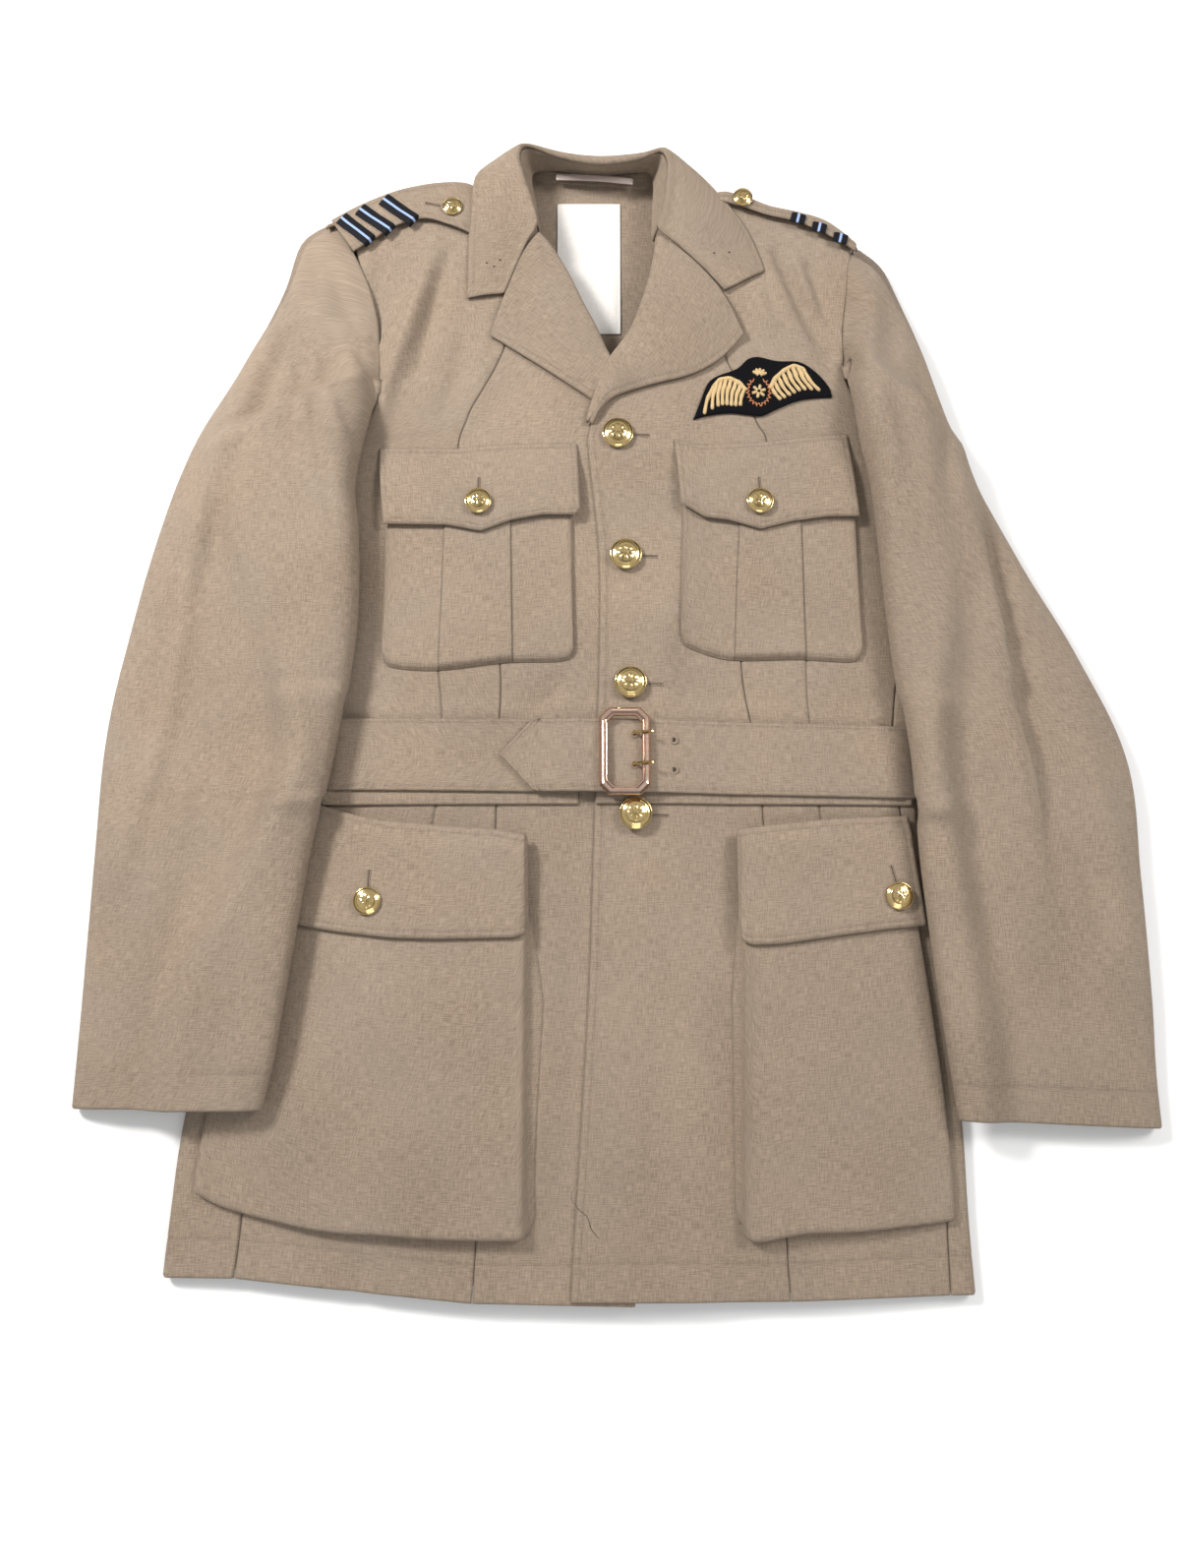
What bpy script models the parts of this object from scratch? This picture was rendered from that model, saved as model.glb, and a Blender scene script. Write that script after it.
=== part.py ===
"""A pilot's uniform jacket laid out flat: belted, four buttons, four patch pockets, open collar.

It lies face up on the plane z = 0, hem toward -Y, collar toward +Y, the wearer's right side toward -X.
Every cloth piece is an open surface, place(u, v) -> (x, y, z), given a Solidify wall.
Lengths in the tables and functions are millimetres; `metres` turns a point into Blender's units.
"""

import math

import bmesh
import bpy
import numpy as np

# ---------------------------------------------------------------- driving dimensions, millimetres
CLOTH = 1.6             # wall of one cloth piece
SEAM = 0.8              # gap between pieces along a seam
LAY = 0.9               # gap between a piece and what it lies on
BELT_WALL = 2.0
BELT_WIDTH = 52.0
BELT_Y = 15.5           # middle of the belt above the jacket's middle
BELT_SLOPE = -0.0148    # the belt drops a little toward +X
FLAP_STEP = 2.6         # a flap's height over its pocket bag
UNDER_TURN = 30.0       # how far a side piece reaches under the body
BUTTON_LARGE = 23.0
BUTTON_SMALL = 19.0
BUTTON_STRAP = 15.0
BUCKLE_AT = (24.3, 17.3)    # its middle
PRONG = 2.0             # thickness of a prong
BUCKLE = (36.2, 62.5)   # width and height of the buckle frame
COLLAR_TURN = 3.4       # radius of the collar's roll
CENTRE = (17.75, 78.83)   # the middle of the whole outline, which becomes the origin

# Body sections: y, left fold x, right fold x, height of the front's crown, thickness at the side folds.
BODY = np.array([
    (-350, -287, 258, 15, 9), (-300, -284, 256, 17, 9), (-235, -278, 255, 20, 10),
    (-150, -262, 250, 21, 11), (-60, -222, 239, 20, 12), (15, -192, 231, 19, 13),
    (85, -212, 240, 23, 13), (170, -236, 253, 27, 13), (240, -250, 262, 30, 14),
    (300, -275, 285, 30.5, 17), (370, -300, 310, 31, 20), (500, -310, 320, 31, 22),
], float)

# The shoulders' and the neck's top edge: x, y of its outermost line, radius and angle of the roll there.
TOP_EDGE = np.array([
    (-204, 430, 14, 150), (-153, 451, 15, 150), (-105, 462, 15, 150), (-80, 474, 15, 138),
    (-58, 500, 13, 72), (-25, 497, 12, 58), (8, 494, 12, 52), (40, 496, 12, 58),
    (63, 499, 13, 72), (84, 470, 15, 138), (110, 456, 15, 150), (158, 433, 15, 150),
    (206, 408, 14, 150),
], float)

# The fronts, section by section from hem to shoulder: the outer rail (side seam, then armhole), the long
# seam down the front and the inner rail (front edge, then the line where the lapel rolls), each as x, y.
RIGHT_FRONT = np.array([
    (-237, -336, -78, -351, 30, -353), (-234, -302, -76, -313, 31, -314),
    (-230, -235, -73, -235, 33, -235), (-226, -150, -70, -150, 36, -150),
    (-203, -60, -67, -60, 40, -60), (-178, 15, -66, 15, 46, 15),
    (-192, 85, -65, 85, 48, 85), (-208, 170, -80, 165, 42, 165),
    (-214, 238, -97, 240, 38, 225), (-183, 256, -91, 270, 34, 258),
    (-162, 276, -80, 292, 21, 290), (-157, 302, -70, 312, 2, 316),
    (-159, 325, -62, 335, -4, 343), (-162, 350, -60, 362, -21, 380),
    (-170, 377, -68, 398, -45, 420), (-182, 403, -80, 433, -58, 452),
    (-196, 421, -92, 456, -66, 470),
], float)
LEFT_FRONT = np.array([
    (240, -347, 133, -350, -13, -350), (240, -312, 131, -312, -11, -314),
    (239, -235, 129, -235, -6, -235), (234, -150, 127, -150, -1, -150),
    (226, -60, 124, -60, 2, -60), (217, 15, 119, 15, 4, 15),
    (224, 85, 109, 85, 6.5, 85), (235, 170, 116, 165, 6.5, 165),
    (236, 236, 131, 245, 0, 230), (218, 262, 124, 268, -1, 258),
    (202, 283, 115, 292, 11, 290), (192, 304, 104, 314, 23, 316),
    (191, 325, 96, 336, 40, 342), (192, 348, 94, 360, 50.5, 374),
    (195, 370, 96, 392, 58, 408), (199, 388, 98, 422, 64, 440),
    (203, 400, 100, 450, 70, 468),
], float)
# The back's hem: x, y.
BACK_HEM = np.array([(-250, -342), (-190, -345), (-124, -349), (20, -350), (100, -350), (180, -348),
                     (222, -347)], float)
# Where the rows of faces fall, counted in rows of the tables above: closer where the belt lifts the cloth.
SIDE_STATIONS = (0, 1, 2, 3, 4, 4.39, 4.57, 5, 5.47, 5.67, 6.3, 7.1, 8)
FRONT_STATIONS = SIDE_STATIONS + (9, 10, 11, 12, 13, 14, 15, 16)

# Sleeves, from armhole to cuff: outer fold x, y; inner fold x, y; thickness in the middle, at the outer
# fold and at the inner fold.
RIGHT_SLEEVE = np.array([
    (-206, 429, -158, 301, 28, 25, 9), (-240, 385, -169, 262, 31, 17, 9),
    (-268, 322, -173, 215, 33, 12, 9), (-300, 262, -167, 178, 32, 10, 9),
    (-322, 189, -166, 118, 30, 10, 9), (-339, 105, -172, 62, 28, 9, 9),
    (-350, 30, -181, 5, 27, 9, 9), (-352, -60, -192, -52, 25, 9, 9),
    (-353, -140, -204, -142, 22, 9, 9), (-354.5, -196, -211, -192, 19, 8, 9),
    (-355.5, -227, -219, -226, 17, 8, 9),
], float)
LEFT_SLEEVE = np.array([
    (210, 406, 191, 318, 28, 24, 9), (242, 388, 197, 288, 31, 17, 9),
    (262, 334, 199, 250, 33, 12, 9), (279, 256, 205, 210, 32, 10, 9),
    (320, 165, 211, 142, 30, 10, 9), (356, 94, 216, 86, 29, 9, 9),
    (387, 14, 225, 16, 28, 9, 9), (390, -70, 228, -60, 26, 9, 9),
    (391, -150, 235, -140, 23, 9, 9), (390, -205, 242, -200, 20, 8, 9),
    (391, -240, 247, -233, 18, 8, 9),
], float)
RIGHT_ARMHOLE = [(-207, 429), (-187, 407), (-174, 381), (-166, 353), (-163, 326), (-160, 301)]
LEFT_ARMHOLE = [(208, 406), (203, 390), (198.5, 371), (195, 349), (194, 333), (193, 318)]
# The same opening underneath: down the back's armhole, then over the front to the inner fold.
RIGHT_UNDERARM = [(-208, 428), (-214, 385), (-226, 330), (-243, 280), (-215, 262), (-160, 301)]
LEFT_UNDERARM = [(210, 405), (219, 370), (231, 325), (252, 278), (226, 272), (193, 318)]

# What the sleeves rest on above the armpits: y, left and right end of the body there.
SCYE = np.array([
    (250, -252, 263), (272, -213, 232), (292, -168, 207), (312, -158, 192), (345, -160, 191),
    (430, -204, 206),
], float)

# The collar round the neck, section by section: neck seam, fold and free edge, each as x, y, z, then how
# far the cloth turns over at the fold, 0 to 1.
COLLAR = np.array([
    (-58, 371, 30, -64, 370, 36, -92.7, 366, 30, 0), (-50, 392, 29, -56, 391.5, 36, -92.7, 385, 30, 0),
    (-42, 411, 28, -48.5, 410, 36.5, -92.6, 405, 30, 0), (-38, 424, 25, -42, 426, 37, -92.5, 424, 30, 0.6),
    (-40, 445, 21, -47, 447, 37.5, -91.5, 445, 30, 1), (-43, 465, 17, -53, 466, 38, -90.5, 464, 30, 1),
    (-45, 482, 13, -57, 485, 37, -86, 479, 27, 1), (-41, 490, 10, -50, 495, 36, -66, 503, 12, 1),
    (-22, 492, 8, -22, 488, 34, -30, 511, 4, 1), (8, 490, 7, 8, 484, 33, 8, 509, 4, 1),
    (38, 491, 8, 38, 487, 34, 46, 510, 4, 1), (47, 488, 10, 56, 491, 36, 70, 500, 12, 1),
    (49, 476, 13, 62, 480, 37, 87, 473, 28, 1), (48, 456, 17, 61, 458, 38, 103, 452, 30, 1),
    (47, 436, 21, 58, 438, 37.5, 118, 428, 30, 1), (48, 418, 25, 54, 422, 37, 128, 404, 30, 0.6),
    (63, 407, 28, 69, 407, 36.5, 130, 399, 30, 0), (79, 391, 29, 85, 391, 36, 131.5, 394, 30, 0),
    (95, 373, 30, 101, 372, 36, 133, 389.5, 30, 0),
], float)

# Lapels: the free edge from the break up to the corner, the top edge from the corner past the notch and
# along the seam to the collar, and the line where the lapel rolls, all as x, y.
RIGHT_LAPEL = {
    "edge": [(-1, 285), (-18, 297), (-37, 310), (-56, 322.5), (-75, 335)],
    "top": [(-75, 335), (-70, 352), (-64.5, 367.5), (-56.5, 389), (-49, 408), (-40.5, 421)],
    "roll": [(9.5, 324), (2, 343), (-8, 363), (-18, 385), (-30, 407), (-40.5, 421)],
    "turn": (318, 336),
}
LEFT_LAPEL = {
    "edge": [(2, 262), (16, 282), (43, 293), (74, 302), (97, 316), (116, 337)],
    "top": [(116, 337), (108, 354), (101.5, 369), (86, 388.5), (70, 403.5), (53.5, 416.5)],
    "roll": [(-1, 265), (6, 290), (17, 316), (34, 342), (46, 376), (51.5, 401), (53.5, 416.5)],
    "turn": (300, 325),
}

# Shoulder straps: x, y of the lower edge and of the upper edge, from the collar out to the armhole.
RIGHT_STRAP = np.array([
    (-94, 422, -94, 461), (-108, 427, -108, 461.5), (-127, 433, -128, 458.5), (-148, 427, -152, 451),
    (-165, 415, -178, 441), (-180, 405.5, -200, 431),
], float)
LEFT_STRAP = np.array([
    (105, 448, 108, 462), (118, 441, 121, 456), (134, 434.5, 138, 449), (157, 428, 160, 439),
    (180, 417, 182, 428), (203, 404, 203, 414),
], float)


# Patches on the fronts, each by its four edges of x, y: bottom and top from -X to +X, sides upward.
CHEST_POCKET_RIGHT = {
    "bottom": [(-151, 95), (-149, 86), (-140, 81), (-107, 79), (-60, 84), (-22, 85), (-13, 89), (-11.5, 97)],
    "top": [(-151, 206), (-12, 208)], "left": [(-151, 95), (-151, 206)],
    "right": [(-11.5, 97), (-12, 208)],
}
CHEST_POCKET_LEFT = {
    "bottom": [(64.5, 107), (66, 99), (72, 94), (102, 86), (152, 87), (188, 86), (196, 90), (198, 98)],
    "top": [(68, 210), (197, 212)], "left": [(64.5, 107), (65, 137), (68, 210)],
    "right": [(198, 98), (197, 212)],
}
CHEST_FLAP_RIGHT = {
    "bottom": [(-151, 187), (-128, 186), (-104, 185), (-79, 180), (-57, 188), (-34, 192), (-10, 192)],
    "top": [(-157, 248), (-98, 246), (-55, 249), (-9.5, 249.5)], "left": [(-151, 187), (-157, 248)],
    "right": [(-10, 192), (-7, 197), (-9.5, 249.5)],
}
CHEST_FLAP_LEFT = {
    "bottom": [(66, 200), (83, 190), (101, 188.5), (124, 182), (148, 188.5), (174, 193), (198, 194)],
    "top": [(62, 252), (81, 248), (131, 252), (164, 257), (192, 260)], "left": [(66, 200), (62, 252)],
    "right": [(198, 194), (192, 260)],
}
LOWER_POCKET_RIGHT = {
    "bottom": [(-266, -282), (-246, -291), (-211, -300), (-176, -306), (-138, -308), (-100, -310.5),
               (-52, -311), (-42, -309), (-38.5, -302)],
    "top": [(-226, -95), (-130, -97), (-46, -99)], "left": [(-266, -282), (-258, -220), (-226, -95)],
    "right": [(-38.5, -302), (-42, -260), (-42, -143), (-46, -99)],
}
LOWER_POCKET_LEFT = {
    "bottom": [(100.5, -302), (103, -309), (112, -312), (142, -307), (179, -306), (221, -303), (244, -300)],
    "top": [(106, -99), (170, -97), (228, -93)], "left": [(100.5, -302), (104, -195), (106, -99)],
    "right": [(244, -300), (241, -220), (228, -93)],
}
LOWER_FLAP_RIGHT = {
    "bottom": [(-214, -100), (-199, -103.5), (-175.5, -107.5), (-137, -112), (-104, -113), (-82, -112.5),
               (-52, -112), (-44, -110), (-41, -104)],
    "top": [(-194, -17), (-163.5, -26), (-139, -31), (-106, -34), (-65, -37), (-42.5, -41)],
    "left": [(-214, -100), (-194, -17)], "right": [(-41, -104), (-42.5, -41)],
}
LOWER_FLAP_LEFT = {
    "bottom": [(101, -108), (103, -114), (111, -117), (132, -116), (174, -110), (205, -106), (234, -103)],
    "top": [(101, -37), (124, -34), (162, -30), (187.5, -28), (225, -26)],
    "left": [(101, -108), (101, -37)], "right": [(234, -103), (225, -26)],
}
BADGE = {
    "bottom": [(77, 268), (98, 264), (122, 263), (146, 269), (176, 285)],
    "top": [(84, 298), (105, 311), (125, 319), (152, 317), (180, 296)],
    "left": [(77, 268), (84, 298)], "right": [(176, 285), (180, 296)],
}
LABEL = {
    "bottom": [(-26, 355), (24, 355)], "top": [(-26, 468), (24, 468)],
    "left": [(-26, 355), (-26, 468)], "right": [(24, 355), (24, 468)],
}
# Where the columns and rows of a patch fall, so that its pleat and its turned-down sides are steep.
CHEST_PLEAT = (0, 0.03, 0.31, 0.335, 0.5, 0.665, 0.69, 0.97, 1)
BELLOWS_COLUMNS = (0, 0.025, 0.2, 0.4, 0.6, 0.8, 0.975, 1)
BELLOWS_ROWS = (0, 0.03, 0.25, 0.5, 0.75, 1)

PLEAT_STEP = 1.3        # the box pleat over its pocket
CHEST_PUFF = 1.8        # the chest pockets stand off the fronts by this
BAND = (-18.5, 34.0)    # lower and upper edge of the waist bands under the belt, as y
BAND_RIGHT = (-167.0, -14.0)    # their ends, as x
BAND_LEFT = (5.5, 208.0)
BELT_TIP = (-64.0, 24.0)        # x of the pointed end and how far its point reaches out
BELT_FIXED_END = 4.0            # x of the end that holds the buckle
BRAIDS_RIGHT = [((-191, 435), (-167, 413)), ((-177, 442), (-152, 422)), ((-159, 450), (-134, 430))]
BRAIDS_LEFT = [((160, 437), (158, 429)), ((176, 429.5), (174, 421.5)), ((192, 421), (190, 413))]
BRAID_WIDTH = 10.5
FRONT_BUTTONS = [(20.5, 256), (26, 163.5), (29, 69), (32, -25.5)]

# ---------------------------------------------------------------- arithmetic
def metres(point):
    x, y, z = point
    return ((x - CENTRE[0]) * 0.001, (y - CENTRE[1]) * 0.001, z * 0.001)


def ease(low, high, value):
    """0 below low, 1 above high, smooth between."""
    t = min(max((value - low) / (high - low), 0.0), 1.0)
    return t * t * (3 - 2 * t)


def straight(rows, share):
    """The row at a share from 0 to 1 along a table, on straight lines between its rows."""
    rows = np.asarray(rows, float)
    at = min(max(share, 0.0), 1.0) * (len(rows) - 1)
    k = min(int(at), len(rows) - 2)
    return rows[k] + (rows[k + 1] - rows[k]) * (at - k)


def curved(rows, share):
    """The row at a share from 0 to 1 along a table, on a smooth curve through its rows."""
    rows = np.asarray(rows, float)
    at = min(max(share, 0.0), 1.0) * (len(rows) - 1)
    k = min(int(at), len(rows) - 2)
    t = at - k
    a, b, c, d = (rows[min(max(k + step, 0), len(rows) - 1)] for step in (-1, 0, 1, 2))
    return b + 0.5 * t * (c - a + t * (2 * a - 5 * b + 4 * c - d + t * (3 * (b - c) + d - a)))


def patch(bottom, top, left, right, u, v):
    """A point of the Coons patch between four edges, each a function of a share."""
    corners = (
        (1 - u) * (1 - v) * bottom(0) + u * (1 - v) * bottom(1) + (1 - u) * v * top(0) + u * v * top(1)
    )
    return (1 - v) * bottom(u) + v * top(u) + (1 - u) * left(v) + u * right(v) - corners


def body_at(y):
    """Left fold, right fold, crown height and side thickness of the body at y."""
    return [np.interp(y, BODY[:, 0], BODY[:, k]) for k in range(1, 5)]


def top_edge_at(x):
    """Outermost y, roll radius and roll angle of the top edge at x."""
    return [np.interp(x, TOP_EDGE[:, 0], TOP_EDGE[:, k]) for k in range(1, 4)]


def belt_middle(x):
    return BELT_Y + BELT_SLOPE * x


def in_belt(x, y, margin=6.0):
    """1 along the belt, 0 away from it."""
    return 1 - ease(BELT_WIDTH / 2 + margin, BELT_WIDTH / 2 + margin + 14, abs(y - belt_middle(x)))


def floor_lift(x, y):
    """The belt's back run holds the back this far off the floor."""
    return (BELT_WALL + LAY) * in_belt(x, y)


def shoulder_seam(x):
    """Where the fronts meet the back's roll along the shoulders."""
    edge, radius, angle = top_edge_at(min(x, -80) if x < 0 else max(x, 84))
    return edge - radius * (1 - math.sin(math.radians(angle))) - 3.0


def front_height(x, y):
    """The upper face of the fronts over the floor."""
    left, right, crown, side = body_at(y)
    middle, half = (left + right) / 2, (right - left - side) / 2
    share = min(abs(x - middle) / half, 1.0)
    height = side + (crown - side) * (1 - share**2.6)
    edge = top_edge_at(x)[0] - y
    height -= 6 * max(0.0, 1 - edge / 45) ** 2
    return height + floor_lift(x, y) * 0.5


def overlap_height(x, y):
    """The left front rides over the right front along the front edge."""
    return front_height(x, y) + (CLOTH + LAY) * (1 - ease(58, 105, x))


def shell_top(x, y):
    """The top of the body with the roll of its shoulders, and 0 beyond it."""
    edge, radius, angle = top_edge_at(x)
    if y <= edge - radius:
        return overlap_height(x, y) if x > 20 else front_height(x, y)
    if y >= edge:
        return 0.0
    turned = math.pi - math.asin((y - edge + radius) / radius)
    return radius * (1 - math.cos(min(turned, math.radians(angle))))


def pocket_lift(x, y):
    """How far the bellows pockets stand off the fronts, also under the sleeves."""
    along = ease(-322, -312, y) * (1 - ease(-30, -12, y))
    right = (1 - ease(-46, -40, x)) * (3.0 + 5.0 * ease(-240, -110, x))
    left = ease(98, 104, x) * (3.0 + 5.0 * (1 - ease(150, 235, x)))
    return along * (right + left)


def bed_height(x, y):
    """What a sleeve lies on: pockets and belt over the body, the floor beside it."""
    left, right = body_at(y)[0:2]
    if y > SCYE[0, 0]:
        left, right = (np.interp(y, SCYE[:, 0], SCYE[:, k]) for k in (1, 2))
    outside = max(left - x, x - right, 0.0)
    inside = front_height(min(max(x, left), right), y) + (BELT_WALL + CLOTH + 2 * LAY) * in_belt(x, y, 10)
    lift = pocket_lift(x, y)
    inside += lift + (FLAP_STEP + CLOTH) * ease(0, 0.5, lift)
    return 0.4 + (inside + LAY + 0.5) * (1 - ease(2, 38, outside))


# ---------------------------------------------------------------- Blender helpers
def material(name, colour, roughness, metallic=0.0):
    made = bpy.data.materials.new(name)
    made.use_nodes = True
    shader = made.node_tree.nodes["Principled BSDF"]
    shader.inputs["Base Color"].default_value = (*colour, 1.0)
    shader.inputs["Roughness"].default_value = roughness
    shader.inputs["Metallic"].default_value = metallic
    return made


def add_object(name, mesh, finish):
    made = bpy.data.objects.new(name, mesh)
    made.data.materials.append(finish)
    bpy.data.collections["pilot_jacket"].objects.link(made)
    return made


def cloth(name, place, columns, rows, finish, wall=CLOTH, tube=False):
    """A piece of cloth: a grid bent by place(u, v), outer face out, with its wall inside it."""
    mesh = bpy.data.meshes.new(name)
    form = bmesh.new()
    bmesh.ops.create_grid(form, x_segments=columns, y_segments=rows, size=1.0)
    for vert in form.verts:
        vert.co = metres(place((vert.co.x + 1) / 2, (vert.co.y + 1) / 2))
    if tube:
        bmesh.ops.remove_doubles(form, verts=form.verts, dist=1e-6)
    bmesh.ops.triangulate(form, faces=form.faces)
    form.to_mesh(mesh)
    form.free()
    mesh.shade_smooth()
    made = add_object(name, mesh, finish)
    solid = made.modifiers.new("wall", "SOLIDIFY")
    solid.thickness = wall * 0.001
    solid.offset = -1
    return made


def spread(share, breaks):
    """Turns an even share into one that lands on the given breaks."""
    return float(np.interp(share, np.linspace(0, 1, len(breaks)), breaks))


def within(edges, u, v):
    """The point x, y of a patch given by its four edges."""
    return patch(
        lambda t: straight(edges["bottom"], t), lambda t: straight(edges["top"], t),
        lambda t: straight(edges["left"], t), lambda t: straight(edges["right"], t), u, v,
    )


# ---------------------------------------------------------------- body
def front_panel(name, table, outer, inner, height, finish, columns):
    """The part of a front between two rails, numbered 0 (side) to 2 (front edge)."""
    rails = (table[:, 2 * outer:2 * outer + 2], table[:, 2 * inner:2 * inner + 2])
    toward = 1 if rails[1][0][0] > rails[0][0][0] else -1

    def place(u, v):
        along = u if toward > 0 else 1 - u
        row = spread(v, FRONT_STATIONS) / (len(table) - 1)
        a, b = curved(rails[0], row), curved(rails[1], row)
        x, y = a + (b - a) * along
        x += toward * SEAM / 2 * (1 - along)
        x -= toward * SEAM / 2 * along
        y += (shoulder_seam(x) - y) * ease(0.88, 1, row)
        return x, y, height(x, y)

    return cloth(name, place, columns, len(FRONT_STATIONS) - 1, finish)


def fold_at(y, side):
    """The body's side fold at y: its x, the radius of its turn and the height of its underside."""
    left, right, _, thick = body_at(y)
    edge = right if side > 0 else left
    low = floor_lift(edge, y)
    return edge, (thick - low * 0.5) / 2, low


def side_seam(table, share):
    """The side seam on the front at a share of its length, hem to armhole."""
    return curved(table[:, 0:2], spread(share, SIDE_STATIONS) / (len(table) - 1))


def side_body(name, table, side, finish):
    """The side piece: from the front's side seam round the fold to the back, hem to armhole."""
    def place(u, v):
        seam_x, y = side_seam(table, v)
        edge, radius, low = fold_at(y, side)
        start, turn_x = seam_x + side * SEAM / 2, edge - side * radius
        path = [(x, front_height(x, y)) for x in (start, (start + turn_x) / 2)]
        for degrees in (88, 55, 25, 0, -25, -55, -90):
            turned = math.radians(degrees)
            path.append((turn_x + side * radius * math.cos(turned), low + radius * (1 + math.sin(turned))))
        path.append((turn_x - side * UNDER_TURN, low))
        x, z = straight(path, u if side > 0 else 1 - u)
        return x, y, z

    return cloth(name, place, 9, len(SIDE_STATIONS) - 1, finish)


def under_seam(y, side):
    """The back's side edge at y, beside the side piece."""
    edge, radius, _ = fold_at(y, side)
    return edge - side * (radius + UNDER_TURN + 1.2), y


def back_panel(finish):
    """The whole back on the floor, rolling up at the shoulders to their seams and a little at the neck."""
    shares = np.linspace(0, 1, len(SIDE_STATIONS))
    left = [under_seam(side_seam(RIGHT_FRONT, share)[1], -1) for share in shares]
    right = [under_seam(side_seam(LEFT_FRONT, share)[1], 1) for share in shares]
    left += [(-236, 268), (-220, 310), (-208, 360), (-202, 400)]
    right += [(246, 268), (226, 305), (212, 345), (205, 382)]
    left.append((TOP_EDGE[0, 0], TOP_EDGE[0, 1] - TOP_EDGE[0, 2]))
    right.append((TOP_EDGE[-1, 0], TOP_EDGE[-1, 1] - TOP_EDGE[-1, 2]))
    flat_rows, roll_rows = len(left) - 1, 5

    def place(u, v):
        row = v * (flat_rows + roll_rows)
        share = min(row / flat_rows, 1.0)
        ends = straight(left, share), straight(right, share)
        x, y = ends[1] + (ends[0] - ends[1]) * u
        edge, radius, angle = top_edge_at(x)
        level = ends[1][1] + (ends[0][1] - ends[1][1]) * u
        hem = np.interp(x, BACK_HEM[:, 0], BACK_HEM[:, 1]) - (left[0][1] + right[0][1]) / 2
        y += hem * (1 - ease(-345, -150, level))
        if share == 1:
            y = edge - radius
        else:
            y += (edge - radius - (left[-1][1] * u + right[-1][1] * (1 - u))) * ease(100, 420, level)
        if row <= flat_rows:
            return x, y, floor_lift(x, y)
        turned = math.radians(angle) * (row - flat_rows) / roll_rows
        return x, y + radius * math.sin(turned), radius * (1 - math.cos(turned))

    return cloth("back", place, 12, flat_rows + roll_rows, finish)


# ---------------------------------------------------------------- sleeves
def sleeve(name, table, armhole, underarm, side, finish):
    """A flattened tube open at the armhole and the cuff, draped over the body's side to the floor."""
    around, along = 18, 14

    def place(u, v):
        turn = 2 * math.pi * u * side + math.pi
        across = 0.5 + 0.5 * math.copysign(abs(math.cos(turn)) ** 0.8, math.cos(turn))
        up = math.sin(turn)
        start = v**1.1
        row = curved(table, start)
        opening = armhole if up > 0 else underarm
        mouth = curved(opening, across) - straight([table[0, 0:2], table[0, 2:4]], across)
        fade = max(0.0, 1 - start * 1.6) ** 1.5
        x, y = row[0:2] + (row[2:4] - row[0:2]) * across + mouth * fade
        edge = row[5] + (row[6] - row[5]) * across
        tip = (1 - ease(0, 0.35, across)) * (1 - ease(0, 0.3, start))
        bed = bed_height(x, y) * (1 - tip) + 0.4 * tip
        if up < 0:
            return x, y, bed + edge / 2 - edge / 2 * (-up) ** 0.5
        seam = ease(0, 0.16, start)
        height = bed + edge / 2 + (row[4] - edge / 2) * up**0.7
        low = bed + edge / 2
        sewn = low + (max(front_height(x, y) + 1.0, low + 2) - low) * up**0.5
        return x, y, sewn + (height - sewn) * seam

    return cloth(name, place, around, along, finish, tube=True)


# ---------------------------------------------------------------- collar and lapels
def lapel(name, outline, height, side, finish):
    """The turned-back part of a front: a leaf on the front, rolling round the front's edge."""
    radius = CLOTH * 1.5 + LAY + 0.4
    leaf = {
        "bottom": [outline["edge"][0], outline["roll"][0]], "top": outline["top"],
        "left": outline["edge"], "right": outline["roll"],
    }

    def place(u, v):
        rolled = straight(outline["roll"], v)
        centre = height(*rolled) - CLOTH / 2
        turned = ease(*outline["turn"], rolled[1])
        path = []
        for share in (0, 0.25, 0.5, 0.75):
            x, y = within(leaf, share, v)
            puff = 0.6 * (1 - share) + 2.2 * math.sin(math.pi * share)
            path.append((x, y, height(x, y) + LAY + CLOTH + 0.4 + puff))
        for share in (0, 0.33, 0.67, 1):
            angle = math.radians(90 - share * (40 + 135 * turned))
            path.append((rolled[0] - side * radius * math.cos(angle), rolled[1],
                         centre + radius * math.sin(angle)))
        x, y, z = path[-1]
        lip = 1.2 + 9 * turned
        path.append((x - side * lip * math.sin(angle), y, z - lip * math.cos(angle)))
        return straight(path, u if side < 0 else 1 - u)

    return cloth(name, place, 8, 9, finish)


def collar_section(share):
    """Neck seam, middle of the fold's turn, the way out from it and the free edge at a share round the neck."""
    row = curved(COLLAR, share)
    seam, fold, edge, turned = row[0:3], row[3:6], row[6:9], row[9]
    out = np.array([edge[0] - fold[0], edge[1] - fold[1], 0.0])
    out /= np.linalg.norm(out)
    return seam, fold - (0, 0, COLLAR_TURN), out, edge, min(max(turned, 0.0), 1.0)


def collar_fall(finish):
    """The collar's fall with its roll at the top, from one front end round the neck to the other."""

    def place(u, v):
        seam, centre, out, edge, turned = collar_section(u)
        up = np.array([0.0, 0.0, 1.0])
        first = centre + COLLAR_TURN * (out * math.cos(0.6) + up * math.sin(0.6))
        path = []
        for share in (0, 0.33, 0.67):
            x, y, z = edge + (first - edge) * share
            rest = shell_top(x, y) + LAY + CLOTH + 0.6
            path.append((x, y, max(z, rest) + 1.2 * math.sin(math.pi * share)))
        for part in (0, 0.33, 0.67, 1):
            angle = 0.6 + part * (0.75 + 1.9 * turned)
            path.append(tuple(centre + COLLAR_TURN * (out * math.cos(angle) + up * math.sin(angle))))
        return straight(path, 1 - v)

    return cloth("collar_fall", place, 32, 6, finish)


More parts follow.
